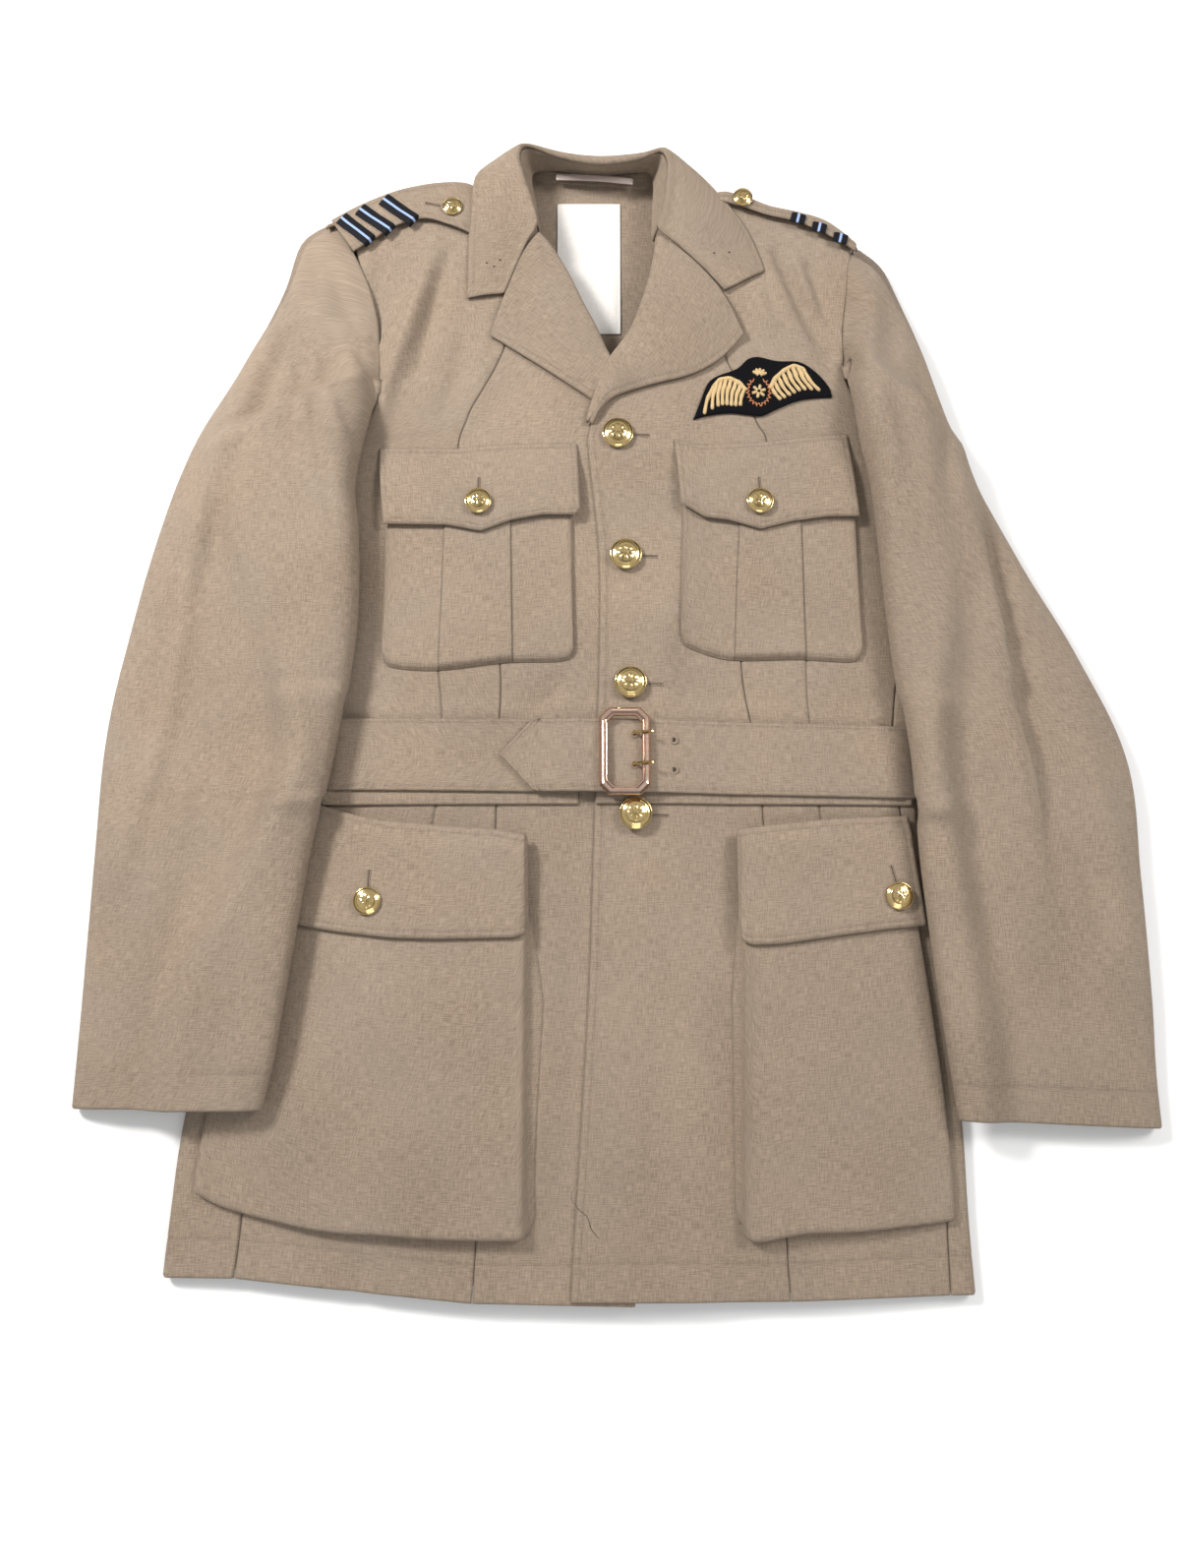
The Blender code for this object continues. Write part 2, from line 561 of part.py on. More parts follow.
def collar_stand(finish):
    """The band inside the collar, from under its roll down to the neck seam."""

    def place(u, v):
        seam, centre, out, _, _ = collar_section(0.2 + 0.6 * u)
        top = centre - out * COLLAR_TURN
        top = top + (seam - top) * 0.12
        x, y, z = seam + (top - seam) * v
        return x, y, z

    return cloth("collar_stand", place, 16, 2, finish)


# ---------------------------------------------------------------- straps and braid
def strap_height(x, y):
    """The upper face of a shoulder strap: stiff, so it stands over the shoulder's roll."""
    edge, radius, _ = top_edge_at(x)
    flat = min(y, edge - radius)
    return (overlap_height(x, flat) if x > 20 else front_height(x, flat)) + CLOTH + LAY + 2.6


def shoulder_strap(name, table, finish):
    def place(u, v):
        row = curved(table, u if table[0, 0] < table[-1, 0] else 1 - u)
        x, y = row[0:2] + (row[2:4] - row[0:2]) * v
        return x, y, strap_height(x, y)

    return cloth(name, place, 8, 3, finish)


def braid(name, ends, finish):
    """One bar of rank braid across a shoulder strap."""
    top, bottom = np.array(ends[0]), np.array(ends[1])
    across = (top - bottom) / np.linalg.norm(top - bottom)
    aside = np.array([across[1], -across[0]]) * BRAID_WIDTH / 2

    def place(u, v):
        x, y = bottom + (top - bottom) * v + aside * (2 * u - 1)
        return x, y, strap_height(x, y) + 0.7 + 1.2

    return cloth(name, place, 2, 3, finish, wall=1.2)


# ---------------------------------------------------------------- pockets
def chest_pocket(name, edges, finish):
    """A patch pocket with a box pleat down its middle."""
    def place(u, v):
        u, v = spread(u, CHEST_PLEAT), spread(v, (0, 0.04, 0.35, 0.7, 1))
        x, y = within(edges, u, v)
        inside = ease(0, 0.04, v) * ease(0, 0.03, u) * (1 - ease(0.97, 1, u))
        pleat = PLEAT_STEP * ease(0.31, 0.335, u) * (1 - ease(0.665, 0.69, u))
        return x, y, base_height(x, y) + LAY + CLOTH + (CHEST_PUFF + pleat) * inside

    return cloth(name, place, len(CHEST_PLEAT) - 1, 4, finish)


def chest_flap_height(x, y, v):
    full = CHEST_PUFF + PLEAT_STEP + CLOTH + LAY + 0.4
    return base_height(x, y) + LAY + CLOTH + full * (1 - ease(0.45, 1, v))


def chest_flap(name, edges, finish):
    """A flap sewn along its top edge, with a point in the middle of its lower edge."""
    def place(u, v):
        x, y = within(edges, u, v)
        return x, y, chest_flap_height(x, y, v)

    return cloth(name, place, 12, 4, finish)


def base_height(x, y):
    """The front a pocket or a badge lies on, with the overlap of the wearer's left front."""
    return overlap_height(x, y) if x > 50 else front_height(x, y)


def lower_pocket(name, edges, finish):
    """A bellows pocket: its face stands off the front, its sides turn down to it."""
    def place(u, v):
        u, v = spread(u, BELLOWS_COLUMNS), spread(v, BELLOWS_ROWS)
        x, y = within(edges, u, v)
        inside = ease(0, 0.03, v) * ease(0, 0.025, u) * (1 - ease(0.975, 1, u))
        return x, y, base_height(x, y) + LAY + CLOTH + pocket_lift(x, y) * inside

    return cloth(name, place, len(BELLOWS_COLUMNS) - 1, len(BELLOWS_ROWS) - 1, finish)


def lower_flap_height(x, y):
    return base_height(x, y) + pocket_lift(x, y) + 2 * (LAY + CLOTH) + 0.4


def lower_flap(name, edges, finish):
    def place(u, v):
        x, y = within(edges, u, v)
        return x, y, lower_flap_height(x, y) - 2.0 * ease(0.8, 1, v)

    return cloth(name, place, 10, 4, finish)


# ---------------------------------------------------------------- waist
def waist_height(x, y):
    """The upper face of the fronts at the waist, where the wearer's left one lies on the other."""
    return front_height(x, y) + (CLOTH + LAY) * ease(-26, -6, x) * (1 - ease(58, 105, x))


def waist_band(name, ends, height, finish):
    """The band of cloth sewn round the waist under the belt."""
    def place(u, v):
        x = ends[0] + (ends[1] - ends[0]) * u
        y = BAND[0] + (BAND[1] - BAND[0]) * v
        return x, y, height(x, y) + LAY + CLOTH

    return cloth(name, place, 8, 2, finish)


def belt_height(x, y, upper):
    """The upper face of the belt, of its lower ply or of the pointed end over it."""
    band = ease(BAND_RIGHT[0] - 13, BAND_RIGHT[0] - 1, x) * (1 - ease(BAND_LEFT[1], BAND_LEFT[1] + 12, x))
    lower = waist_height(x, y) + (LAY + CLOTH) * band + LAY + BELT_WALL
    return lower + upper * (LAY + BELT_WALL) * (1 - ease(38, 72, x))


def belt(finish):
    """One strap: pointed end, buckle, right run, round the back, left run to the buckle."""
    top_right = (-64, -46, -34, -12, 10, 34, 44, 58, 72, 110, 160, 209, 219)
    top_left = (-181, -169, -120, -80, -40, -24, -6, BELT_FIXED_END)
    turns = (80, 50, 20, -10, -40, -65, -90)

    def place(u, v):
        def at(x, z):
            return x, belt_middle(x) + (v - 0.5) * BELT_WIDTH, z

        path = []
        for x in top_right:
            _, y, _ = at(x, 0)
            z = belt_height(x, y, 1)
            if x < -30:
                share = (x - BELT_TIP[0]) / (-34 - BELT_TIP[0])
                x += BELT_TIP[1] * abs(2 * v - 1) * (1 - share)
            path.append((x, y, z))
        for side in (1, -1):
            _, y, _ = at(fold_at(BELT_Y, side)[0], 0)
            edge, radius, low = fold_at(y, side)
            wide = radius + LAY + BELT_WALL
            for degrees in turns if side > 0 else reversed(turns):
                turned = math.radians(degrees)
                path.append((edge - side * (radius - wide * math.cos(turned)), y,
                             low + radius + wide * math.sin(turned)))
            if side > 0:
                path.append(at(CENTRE[0], low - LAY - BELT_WALL))
        for x in top_left:
            _, y, _ = at(x, 0)
            path.append((x, y, belt_height(x, y, 0)))
        return straight(path, u)

    columns = len(top_right) + 2 * len(turns) + len(top_left)
    return cloth("belt", place, columns, 2, finish, wall=BELT_WALL)


def buckle_frame(finish):
    """An eight-sided open frame lying on the belt."""
    width, height = BUCKLE
    bar, corner, thick, rounding = 6.2, 7.0, 4.4, 1.2
    curve = bpy.data.curves.new("buckle_frame", "CURVE")
    curve.dimensions = "2D"
    curve.fill_mode = "BOTH"
    curve.extrude = (thick / 2 - rounding) * 0.001
    curve.bevel_depth = rounding * 0.001
    curve.bevel_resolution = 1
    for inset in (rounding, bar - rounding):
        w, h, c = width / 2 - inset, height / 2 - inset, corner - inset * 0.41
        points = [(w, h - c), (w - c, h), (c - w, h), (-w, h - c), (-w, c - h), (c - w, -h), (w - c, -h),
                  (w, c - h)]
        spline = curve.splines.new("POLY")
        spline.points.add(len(points) - 1)
        for point, (x, y) in zip(spline.points, points):
            point.co = (x * 0.001, y * 0.001, 0, 1)
        spline.use_cyclic_u = True
    x, y = BUCKLE_AT
    made = add_object("buckle_frame", curve, finish)
    corners = [(x + a * width / 2, y + b * BELT_WIDTH / 2) for a in (-1, 0, 1) for b in (-1, 0, 1)]
    highest = max(belt_height(a, b, 1) for a, b in corners)
    made.location = metres((x, y, highest + 0.4 + thick / 2))
    weld = made.modifiers.new("weld", "WELD")
    weld.merge_threshold = 0.00001
    return highest + 0.4 + thick


def prong(name, y, bar_top, finish):
    """A prong up through the belt's eyelet and over the buckle's bar."""
    right = BUCKLE_AT[0] + BUCKLE[0] / 2
    low = belt_height(30, y + PRONG, 1) + 0.4 + PRONG / 2
    high = bar_top + 0.3 + PRONG / 2
    path = [(29.5, low), (31.5, low + 0.3), (33.5, (low + high) / 2 + 1), (36, high), (right + 0.5, high),
            (right + 1.6, high - 0.4)]
    curve = bpy.data.curves.new(name, "CURVE")
    curve.dimensions = "3D"
    curve.bevel_depth = PRONG / 2 * 0.001
    curve.bevel_resolution = 1
    curve.use_fill_caps = True
    spline = curve.splines.new("POLY")
    spline.points.add(len(path) - 1)
    for point, (x, z) in zip(spline.points, path):
        point.co = (*metres((x, y, z)), 1)
    made = add_object(name, curve, finish)
    weld = made.modifiers.new("weld", "WELD")
    weld.merge_threshold = 0.00001


# ---------------------------------------------------------------- buttons
def button(name, x, y, base, diameter, finish):
    """A domed metal button, its flat underside just over the cloth."""
    scale = diameter / 2
    profile = [(0, 0), (0.62, 0), (0.95, 0.1), (1, 0.2), (0.88, 0.34), (0.55, 0.47), (0, 0.52)]
    form = bmesh.new()
    verts = [form.verts.new((r * scale * 0.001, 0, z * scale * 0.001)) for r, z in profile]
    for a, b in zip(verts, verts[1:]):
        form.edges.new((a, b))
    mesh = bpy.data.meshes.new(name)
    form.to_mesh(mesh)
    form.free()
    made = add_object(name, mesh, finish)
    spun = made.modifiers.new("spun", "SCREW")
    spun.steps = 14
    spun.render_steps = 14
    spun.use_merge_vertices = True
    spun.merge_threshold = 0.00001
    spun.use_normal_calculate = True
    around = [(x + scale * math.cos(t), y + scale * math.sin(t)) for t in np.linspace(0, 6.28, 9)]
    made.location = metres((x, y, max(base(*point) for point in around + [(x, y)]) + 0.35))
    return made


# ---------------------------------------------------------------- neck and chest trim
def flat_patch(name, edges, height, columns, rows, finish, wall):
    def place(u, v):
        x, y = within(edges, u, v)
        return x, y, height(x, y)

    return cloth(name, place, columns, rows, finish, wall=wall)


def hanger_loop(finish):
    """A satin strap across the back of the neck, its middle free."""
    def place(u, v):
        x = -27 + 61 * u
        return x, 482 - 4 * u + 5.5 * v - 1.5 * math.sin(math.pi * u), 5.5 + 3 * math.sin(math.pi * u)

    return cloth("hanger_loop", place, 6, 1, finish, wall=1.0)


# ---------------------------------------------------------------- build
def clear_scene():
    for old in list(bpy.data.objects):
        bpy.data.objects.remove(old, do_unlink=True)


def main():
    clear_scene()
    parts = bpy.data.collections.new("pilot_jacket")
    bpy.context.scene.collection.children.link(parts)
    stone = material("stone_cloth", (0.42, 0.34, 0.26), 0.85)
    gold = material("gilt_metal", (0.83, 0.66, 0.36), 0.25, 1.0)
    rose = material("buckle_metal", (0.86, 0.60, 0.50), 0.2, 1.0)
    dark = material("braid", (0.012, 0.012, 0.018), 0.6)
    satin = material("satin", (0.33, 0.26, 0.22), 0.4)
    white = material("label_cloth", (0.85, 0.84, 0.80), 0.7)
    felt = material("badge_felt", (0.010, 0.010, 0.014), 0.9)

    back_panel(stone)
    side_body("side_body_right", RIGHT_FRONT, -1, stone)
    side_body("side_body_left", LEFT_FRONT, 1, stone)
    front_panel("front_side_right", RIGHT_FRONT, 0, 1, front_height, stone, 5)
    front_panel("front_right", RIGHT_FRONT, 1, 2, front_height, stone, 5)
    front_panel("front_side_left", LEFT_FRONT, 0, 1, overlap_height, stone, 5)
    front_panel("front_left", LEFT_FRONT, 1, 2, overlap_height, stone, 6)
    sleeve("sleeve_right", RIGHT_SLEEVE, RIGHT_ARMHOLE, RIGHT_UNDERARM, 1, stone)
    sleeve("sleeve_left", LEFT_SLEEVE, LEFT_ARMHOLE, LEFT_UNDERARM, -1, stone)
    lapel("lapel_right", RIGHT_LAPEL, front_height, -1, stone)
    lapel("lapel_left", LEFT_LAPEL, overlap_height, 1, stone)
    collar_fall(stone)
    collar_stand(stone)
    shoulder_strap("shoulder_strap_right", RIGHT_STRAP, stone)
    shoulder_strap("shoulder_strap_left", LEFT_STRAP, stone)
    for side, bars in (("right", BRAIDS_RIGHT), ("left", BRAIDS_LEFT)):
        for number, ends in enumerate(bars, 1):
            braid(f"braid_{side}_{number}", ends, dark)
    chest_pocket("chest_pocket_right", CHEST_POCKET_RIGHT, stone)
    chest_pocket("chest_pocket_left", CHEST_POCKET_LEFT, stone)
    chest_flap("chest_flap_right", CHEST_FLAP_RIGHT, stone)
    chest_flap("chest_flap_left", CHEST_FLAP_LEFT, stone)
    lower_pocket("lower_pocket_right", LOWER_POCKET_RIGHT, stone)
    lower_pocket("lower_pocket_left", LOWER_POCKET_LEFT, stone)
    lower_flap("lower_flap_right", LOWER_FLAP_RIGHT, stone)
    lower_flap("lower_flap_left", LOWER_FLAP_LEFT, stone)
    waist_band("waist_band_right", BAND_RIGHT, front_height, stone)
    waist_band("waist_band_left", BAND_LEFT, overlap_height, stone)
    belt(stone)
    bar_top = buckle_frame(rose)
    prong("prong_upper", 30.6, bar_top, gold)
    prong("prong_lower", 8.6, bar_top, gold)

    for number, (x, y) in enumerate(FRONT_BUTTONS, 1):
        lowest = (LAY + CLOTH) if y < 0 else 0
        button(f"button_front_{number}", x, y, lambda a, b: overlap_height(a, b) + lowest, BUTTON_LARGE, gold)
    for side, x, y in (("right", -81, 201.5), ("left", 123.5, 202)):
        button(f"button_chest_{side}", x, y, lambda a, b: chest_flap_height(a, b, 0.3), BUTTON_SMALL, gold)
    for side, x, y in (("right", -153, -87), ("left", 214, -83)):
        button(f"button_lower_{side}", x, y, lower_flap_height, BUTTON_SMALL, gold)
    for side, x, y in (("right", -105, 441), ("left", 117, 450)):
        button(f"button_strap_{side}", x, y, strap_height, BUTTON_STRAP, gold)

    flat_patch("badge", BADGE, lambda x, y: base_height(x, y) + LAY + 1.4, 8, 3, felt, 1.4)
    flat_patch("label", LABEL, lambda x, y: CLOTH + 0.5 + 0.8, 2, 4, white, 0.8)
    hanger_loop(satin)


main()
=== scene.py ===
import math

import bmesh
import bpy
import numpy as np
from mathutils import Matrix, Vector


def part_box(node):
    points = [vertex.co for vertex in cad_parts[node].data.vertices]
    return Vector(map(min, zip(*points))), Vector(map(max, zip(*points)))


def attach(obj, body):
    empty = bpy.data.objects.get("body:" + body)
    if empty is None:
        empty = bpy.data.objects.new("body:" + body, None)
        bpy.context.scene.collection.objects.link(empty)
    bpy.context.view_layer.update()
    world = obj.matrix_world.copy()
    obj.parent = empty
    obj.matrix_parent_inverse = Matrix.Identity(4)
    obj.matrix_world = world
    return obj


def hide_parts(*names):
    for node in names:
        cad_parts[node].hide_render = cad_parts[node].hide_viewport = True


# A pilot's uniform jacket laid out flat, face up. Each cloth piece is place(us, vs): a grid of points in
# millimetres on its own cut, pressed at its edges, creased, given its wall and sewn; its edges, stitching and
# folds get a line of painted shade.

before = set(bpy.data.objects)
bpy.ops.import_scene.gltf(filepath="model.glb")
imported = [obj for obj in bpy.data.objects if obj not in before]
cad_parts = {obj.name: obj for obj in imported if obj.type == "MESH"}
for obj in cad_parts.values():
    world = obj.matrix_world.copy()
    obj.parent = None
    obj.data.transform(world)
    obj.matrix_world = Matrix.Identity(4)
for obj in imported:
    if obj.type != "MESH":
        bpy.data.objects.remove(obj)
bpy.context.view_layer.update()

# ---------------------------------------------------------------- driving dimensions, millimetres
CLOTH = 1.6             # wall of one cloth piece
SEAM = 0.3              # gap between pieces along a seam
LAY = 0.9               # gap between a piece and what it lies on
BELT_WALL = 2.0
BELT_WIDTH = 52.0
BELT_Y = 15.5           # the belt's middle line at x = 0, and how it falls toward +X
BELT_SLOPE = -0.0148
FLAP_STEP = 2.6         # how far a sleeve rises over the lower flaps
UNDER_TURN = 30.0       # width of the side pieces that lies under the body
BUCKLE = (36.2, 62.5)   # outside width and height, and where its middle is
BUCKLE_AT = (24.3, 17.3)
COLLAR_TURN = 3.4       # radius of the collar's roll
SHOULDER_GAP = 0.5      # between the fronts and the back's roll along the shoulders
HEM_STITCH = 25.0       # topstitching in from a hem, a front edge, a pocket's edge and a belt's edge
EDGE_STITCH = 5.0
POCKET_STITCH = 4.0
BELT_STITCH = 3.0
CENTRE = np.array([17.75, 78.83, 0.0])
TO_METRES = 0.001

# Body sections: y, left fold x, right fold x, height of the front's crown, thickness at the side folds.
BODY = np.array([
    (-350, -287, 258, 15, 9), (-300, -284, 256, 17, 9), (-235, -278, 255, 20, 10),
    (-150, -262, 250, 21, 11), (-60, -222, 239, 20, 12), (15, -192, 231, 19, 13),
    (85, -212, 240, 23, 13), (170, -236, 253, 27, 13), (240, -250, 262, 30, 14),
    (300, -275, 285, 30.5, 17), (370, -300, 310, 31, 20), (500, -310, 320, 31, 22),
], float)

# The shoulders' and the neck's top edge: x, y of its outermost line, radius and angle of the roll there.
TOP_EDGE = np.array([
    (-204, 438, 14, 150), (-153, 453, 15, 150), (-105, 462, 15, 150), (-80, 474, 15, 138),
    (-58, 500, 13, 72), (-25, 497, 12, 58), (8, 494, 12, 52), (40, 496, 12, 58),
    (63, 499, 13, 72), (84, 471, 15, 138), (110, 459, 15, 150), (135, 450, 15, 150),
    (158, 444.5, 15, 150), (181, 434.5, 15, 150), (206, 418.5, 14, 150),
], float)

# The fronts, section by section from hem to shoulder: the outer rail (side seam, then armhole), the long
# seam down the front and the inner rail (front edge, then the line where the lapel rolls), each as x, y.
RIGHT_FRONT = np.array([
    (-237, -336, -78, -351, 30, -353), (-234, -302, -76, -313, 31, -314),
    (-230, -235, -73, -235, 33, -235), (-226, -150, -70, -150, 36, -150),
    (-203, -60, -67, -60, 40, -60), (-178, 15, -66, 15, 46, 15),
    (-192, 85, -65, 85, 48, 85), (-208, 170, -80, 165, 42, 165),
    (-214, 238, -97, 240, 38, 225), (-183, 256, -91, 270, 34, 258),
    (-162, 276, -80, 292, 21, 290), (-157, 302, -70, 312, 2, 316),
    (-159, 325, -62, 335, -4, 343), (-162, 350, -60, 362, -21, 380),
    (-170, 377, -68, 398, -45, 420), (-182, 403, -80, 433, -58, 452),
    (-198, 428, -92, 456, -66, 470),
], float)
LEFT_FRONT = np.array([
    (240, -347, 133, -350, -13, -350), (240, -312, 131, -312, -11, -314),
    (239, -235, 129, -235, -6, -235), (234, -150, 127, -150, -1, -150),
    (226, -60, 124, -60, 2, -60), (217, 15, 119, 15, 4, 15),
    (224, 85, 109, 85, 6.5, 85), (235, 170, 116, 165, 6.5, 165),
    (236, 236, 131, 245, 0, 230), (218, 262, 124, 268, -1, 258),
    (202, 283, 115, 292, 11, 290), (192, 304, 104, 314, 23, 316),
    (191, 325, 96, 336, 40, 342), (192, 348, 94, 360, 50.5, 374),
    (195, 370, 96, 392, 58, 408), (199, 388, 98, 422, 64, 440),
    (204, 410, 100, 453, 70, 468),
], float)
# The back's hem: x, y.
BACK_HEM = np.array([(-250, -337), (-190, -340), (-124, -344), (20, -345), (100, -345), (180, -343),
                     (222, -342)], float)

# Sleeves, from armhole to cuff: outer fold x, y; inner fold x, y; thickness in the middle, at the outer
# fold and at the inner fold.
RIGHT_SLEEVE = np.array([
    (-204, 447, -156, 300, 28, 25, 9), (-225, 431, -158, 283, 30, 21, 9),
    (-238, 387, -162.5, 264, 31, 17, 9),
    (-268, 322, -170.5, 215, 33, 12, 9), (-300, 262, -167, 178, 32, 10, 9),
    (-322, 189, -166, 118, 30, 10, 9), (-339, 105, -172, 62, 28, 9, 9),
    (-350, 30, -181, 5, 27, 9, 9), (-352, -60, -192, -52, 25, 9, 9),
    (-353, -140, -204, -142, 22, 9, 9), (-354.5, -196, -211, -192, 19, 8, 9),
    (-355.5, -227, -219, -226, 17, 8, 9),
], float)
LEFT_SLEEVE = np.array([
    (208, 427, 189.5, 316, 28, 24, 9), (226, 411, 191, 302, 30, 21, 9),
    (239, 383, 193, 286, 31, 17, 9),
    (258.5, 332, 197.5, 250, 33, 12, 9), (281, 256, 205, 210, 32, 10, 9),
    (320, 165, 211, 142, 30, 10, 9), (356, 94, 216, 86, 29, 9, 9),
    (387, 14, 225, 16, 28, 9, 9), (390, -70, 228, -60, 26, 9, 9),
    (391, -150, 235, -140, 23, 9, 9), (390, -205, 242, -200, 20, 8, 9),
    (391, -240, 247, -233, 18, 8, 9),
], float)
RIGHT_ARMHOLE = [(-197, 436.5), (-179, 404), (-167.6, 378), (-160.2, 350), (-158, 325), (-156, 300)]
LEFT_ARMHOLE = [(200, 413.5), (195.8, 390), (194.2, 370), (191.2, 348), (190.2, 328), (190.4, 312)]
# The same opening underneath: down the back's armhole, then over the front to the inner fold.
RIGHT_UNDERARM = [(-206, 444), (-214, 385), (-226, 330), (-243, 280), (-215, 262), (-160, 301)]
LEFT_UNDERARM = [(210, 424), (219, 370), (231, 325), (252, 278), (226, 272), (193, 318)]

# What the sleeves rest on above the armpits: y, left and right end of the body there.
SCYE = np.array([
    (250, -252, 263), (272, -213, 232), (292, -168, 207), (312, -158, 192), (345, -160, 191),
    (430, -204, 206),
], float)

# The collar round the neck, section by section: neck seam, fold and free edge, each as x, y, z, then how
# far the cloth turns over at the fold, 0 to 1.
COLLAR = np.array([
    (-58, 371, 30, -64, 370, 36, -92.7, 366, 30, 0), (-50, 392, 29, -56, 391.5, 36, -92.7, 385, 30, 0),
    (-42, 411, 28, -48.5, 410, 36.5, -92.6, 405, 30, 0), (-38, 424, 25, -42, 426, 37, -92.5, 424, 30, 0.6),
    (-40, 445, 21, -47, 447, 37.5, -91.5, 445, 30, 1), (-43, 465, 17, -53, 466, 38, -90.5, 464, 30, 1),
    (-45, 482, 13, -57, 485, 37, -86, 479, 27, 1), (-41, 490, 10, -50, 495, 36, -66, 503, 12, 1),
    (-22, 492, 8, -22, 488, 34, -30, 511, 4, 1), (8, 490, 7, 8, 484, 33, 8, 509, 4, 1),
    (38, 491, 8, 38, 487, 34, 46, 510, 4, 1), (47, 488, 10, 56, 491, 36, 70, 500, 12, 1),
    (49, 476, 13, 62, 480, 37, 87, 473, 28, 1), (48, 456, 17, 61, 458, 38, 103, 452, 30, 1),
    (47, 436, 21, 58, 438, 37.5, 118, 428, 30, 1), (48, 418, 25, 54, 422, 37, 128, 404, 30, 0.6),
    (63, 407, 28, 69, 407, 36.5, 130, 399, 30, 0), (79, 391, 29, 85, 391, 36, 131.5, 394, 30, 0),
    (95, 373, 30, 101, 372, 36, 133, 389.5, 30, 0),
], float)

# Lapels: the free edge from the break up to the corner, the top edge from the corner past the notch and
# along the seam to the collar, and the line where the lapel rolls, all as x, y.
RIGHT_LAPEL = {
    "edge": [(3, 282), (-18, 297), (-37, 310), (-56, 322.5), (-75, 335)],
    "top": [(-75, 335), (-70, 352), (-64.5, 367.5), (-56.5, 389), (-49, 408), (-40.5, 421)],
    "roll": [(22, 304), (10, 324), (2, 343), (-8, 363), (-18, 385), (-30, 407), (-40.5, 421)],
    "turn": (318, 336),
}
LEFT_LAPEL = {
    "edge": [(2, 262), (16, 282), (43, 293), (74, 302), (97, 316), (116, 337)],
    "top": [(116, 337), (108, 354), (101.5, 369), (86, 388.5), (70, 403.5), (53.5, 416.5)],
    "roll": [(-1, 265), (6, 290), (17, 316), (34, 342), (46, 376), (51.5, 401), (53.5, 416.5)],
    "turn": (300, 325),
}

# Shoulder straps: x, y of the lower edge and of the upper edge, from the collar out to the armhole.
RIGHT_STRAP = np.array([
    (-84, 419, -84, 463), (-94, 421, -94, 464), (-108, 427, -108, 465), (-127, 433, -128, 463),
    (-148, 427, -152, 457), (-165, 415, -178, 446), (-180, 405.5, -199, 434.5),
], float)
LEFT_STRAP = np.array([
    (93, 451, 94, 459), (105, 447, 108, 456), (119, 442.5, 121, 452), (136, 436.5, 138, 445),
    (157, 431.5, 160, 440), (180, 421.5, 182, 432.5), (203, 407.5, 204, 415),
], float)


# Patches on the fronts, each by its four edges of x, y: bottom and top from -X to +X, sides upward.
CHEST_POCKET_RIGHT = {
    "bottom": [(-151, 95), (-149, 86), (-140, 81), (-107, 79), (-60, 84), (-22, 85), (-13, 89), (-11.5, 97)],
    "top": [(-151, 206), (-12, 208)], "left": [(-151, 95), (-151, 206)],
    "right": [(-11.5, 97), (-12, 208)],
}
CHEST_POCKET_LEFT = {
    "bottom": [(64.5, 107), (66, 99), (72, 94), (102, 86), (152, 87), (188, 86), (196, 90), (198, 98)],
    "top": [(68, 210), (197, 212)], "left": [(64.5, 107), (65, 137), (68, 210)],
    "right": [(198, 98), (197, 212)],
}
CHEST_FLAP_RIGHT = {
    "bottom": [(-151, 187), (-128, 186), (-104, 185), (-79, 180), (-57, 188), (-34, 192), (-10, 192)],
    "top": [(-157, 248), (-98, 246), (-55, 249), (-9.5, 249.5)], "left": [(-151, 187), (-157, 248)],
    "right": [(-10, 192), (-7, 197), (-9.5, 249.5)],
}
CHEST_FLAP_LEFT = {
    "bottom": [(66, 200), (83, 190), (101, 188.5), (124, 182), (148, 188.5), (174, 193), (198, 194)],
    "top": [(62, 252), (81, 248), (131, 252), (164, 257), (192, 260)], "left": [(66, 200), (62, 252)],
    "right": [(198, 194), (192, 260)],
}
LOWER_POCKET_RIGHT = {
    "bottom": [(-266, -282), (-246, -291), (-211, -300), (-176, -306), (-138, -308), (-100, -310.5),
               (-52, -311), (-42, -309), (-38.5, -302)],
    "top": [(-226, -95), (-130, -97), (-46, -99)], "left": [(-266, -282), (-258, -220), (-226, -95)],
    "right": [(-38.5, -302), (-42, -260), (-42, -143), (-46, -99)],
}
LOWER_POCKET_LEFT = {
    "bottom": [(100.5, -302), (103, -309), (112, -312), (142, -307), (179, -306), (221, -303), (244, -300)],
    "top": [(106, -99), (170, -97), (228, -93)], "left": [(100.5, -302), (104, -195), (106, -99)],
    "right": [(244, -300), (241, -220), (228, -93)],
}
LOWER_FLAP_RIGHT = {
    "bottom": [(-214, -100), (-199, -103.5), (-175.5, -107.5), (-137, -112), (-104, -113), (-82, -112.5),
               (-52, -112), (-44, -110), (-41, -104)],
    "top": [(-194, -17), (-163.5, -26), (-139, -31), (-106, -34), (-65, -37), (-42.5, -41)],
    "left": [(-214, -100), (-194, -17)], "right": [(-41, -104), (-42.5, -41)],
}
LOWER_FLAP_LEFT = {
    "bottom": [(101, -108), (103, -114), (111, -117), (132, -116), (174, -110), (205, -106), (234, -103)],
    "top": [(101, -37), (124, -34), (162, -30), (187.5, -28), (225, -26)],
    "left": [(101, -108), (101, -37)], "right": [(234, -103), (225, -26)],
}
BADGE = {
    "bottom": [(76.5, 267.5), (90, 271.5), (104, 273.5), (116, 272.5), (128, 272), (139, 277.5), (158, 285.5),
               (181, 288.5)],
    "top": [(84, 288), (88, 297), (95, 303), (110, 309.5), (118, 317), (126, 319), (140, 316), (157, 315.5),
            (170, 307), (179, 296)],
    "left": [(76.5, 267.5), (84, 288)], "right": [(181, 288.5), (179, 296)],
}
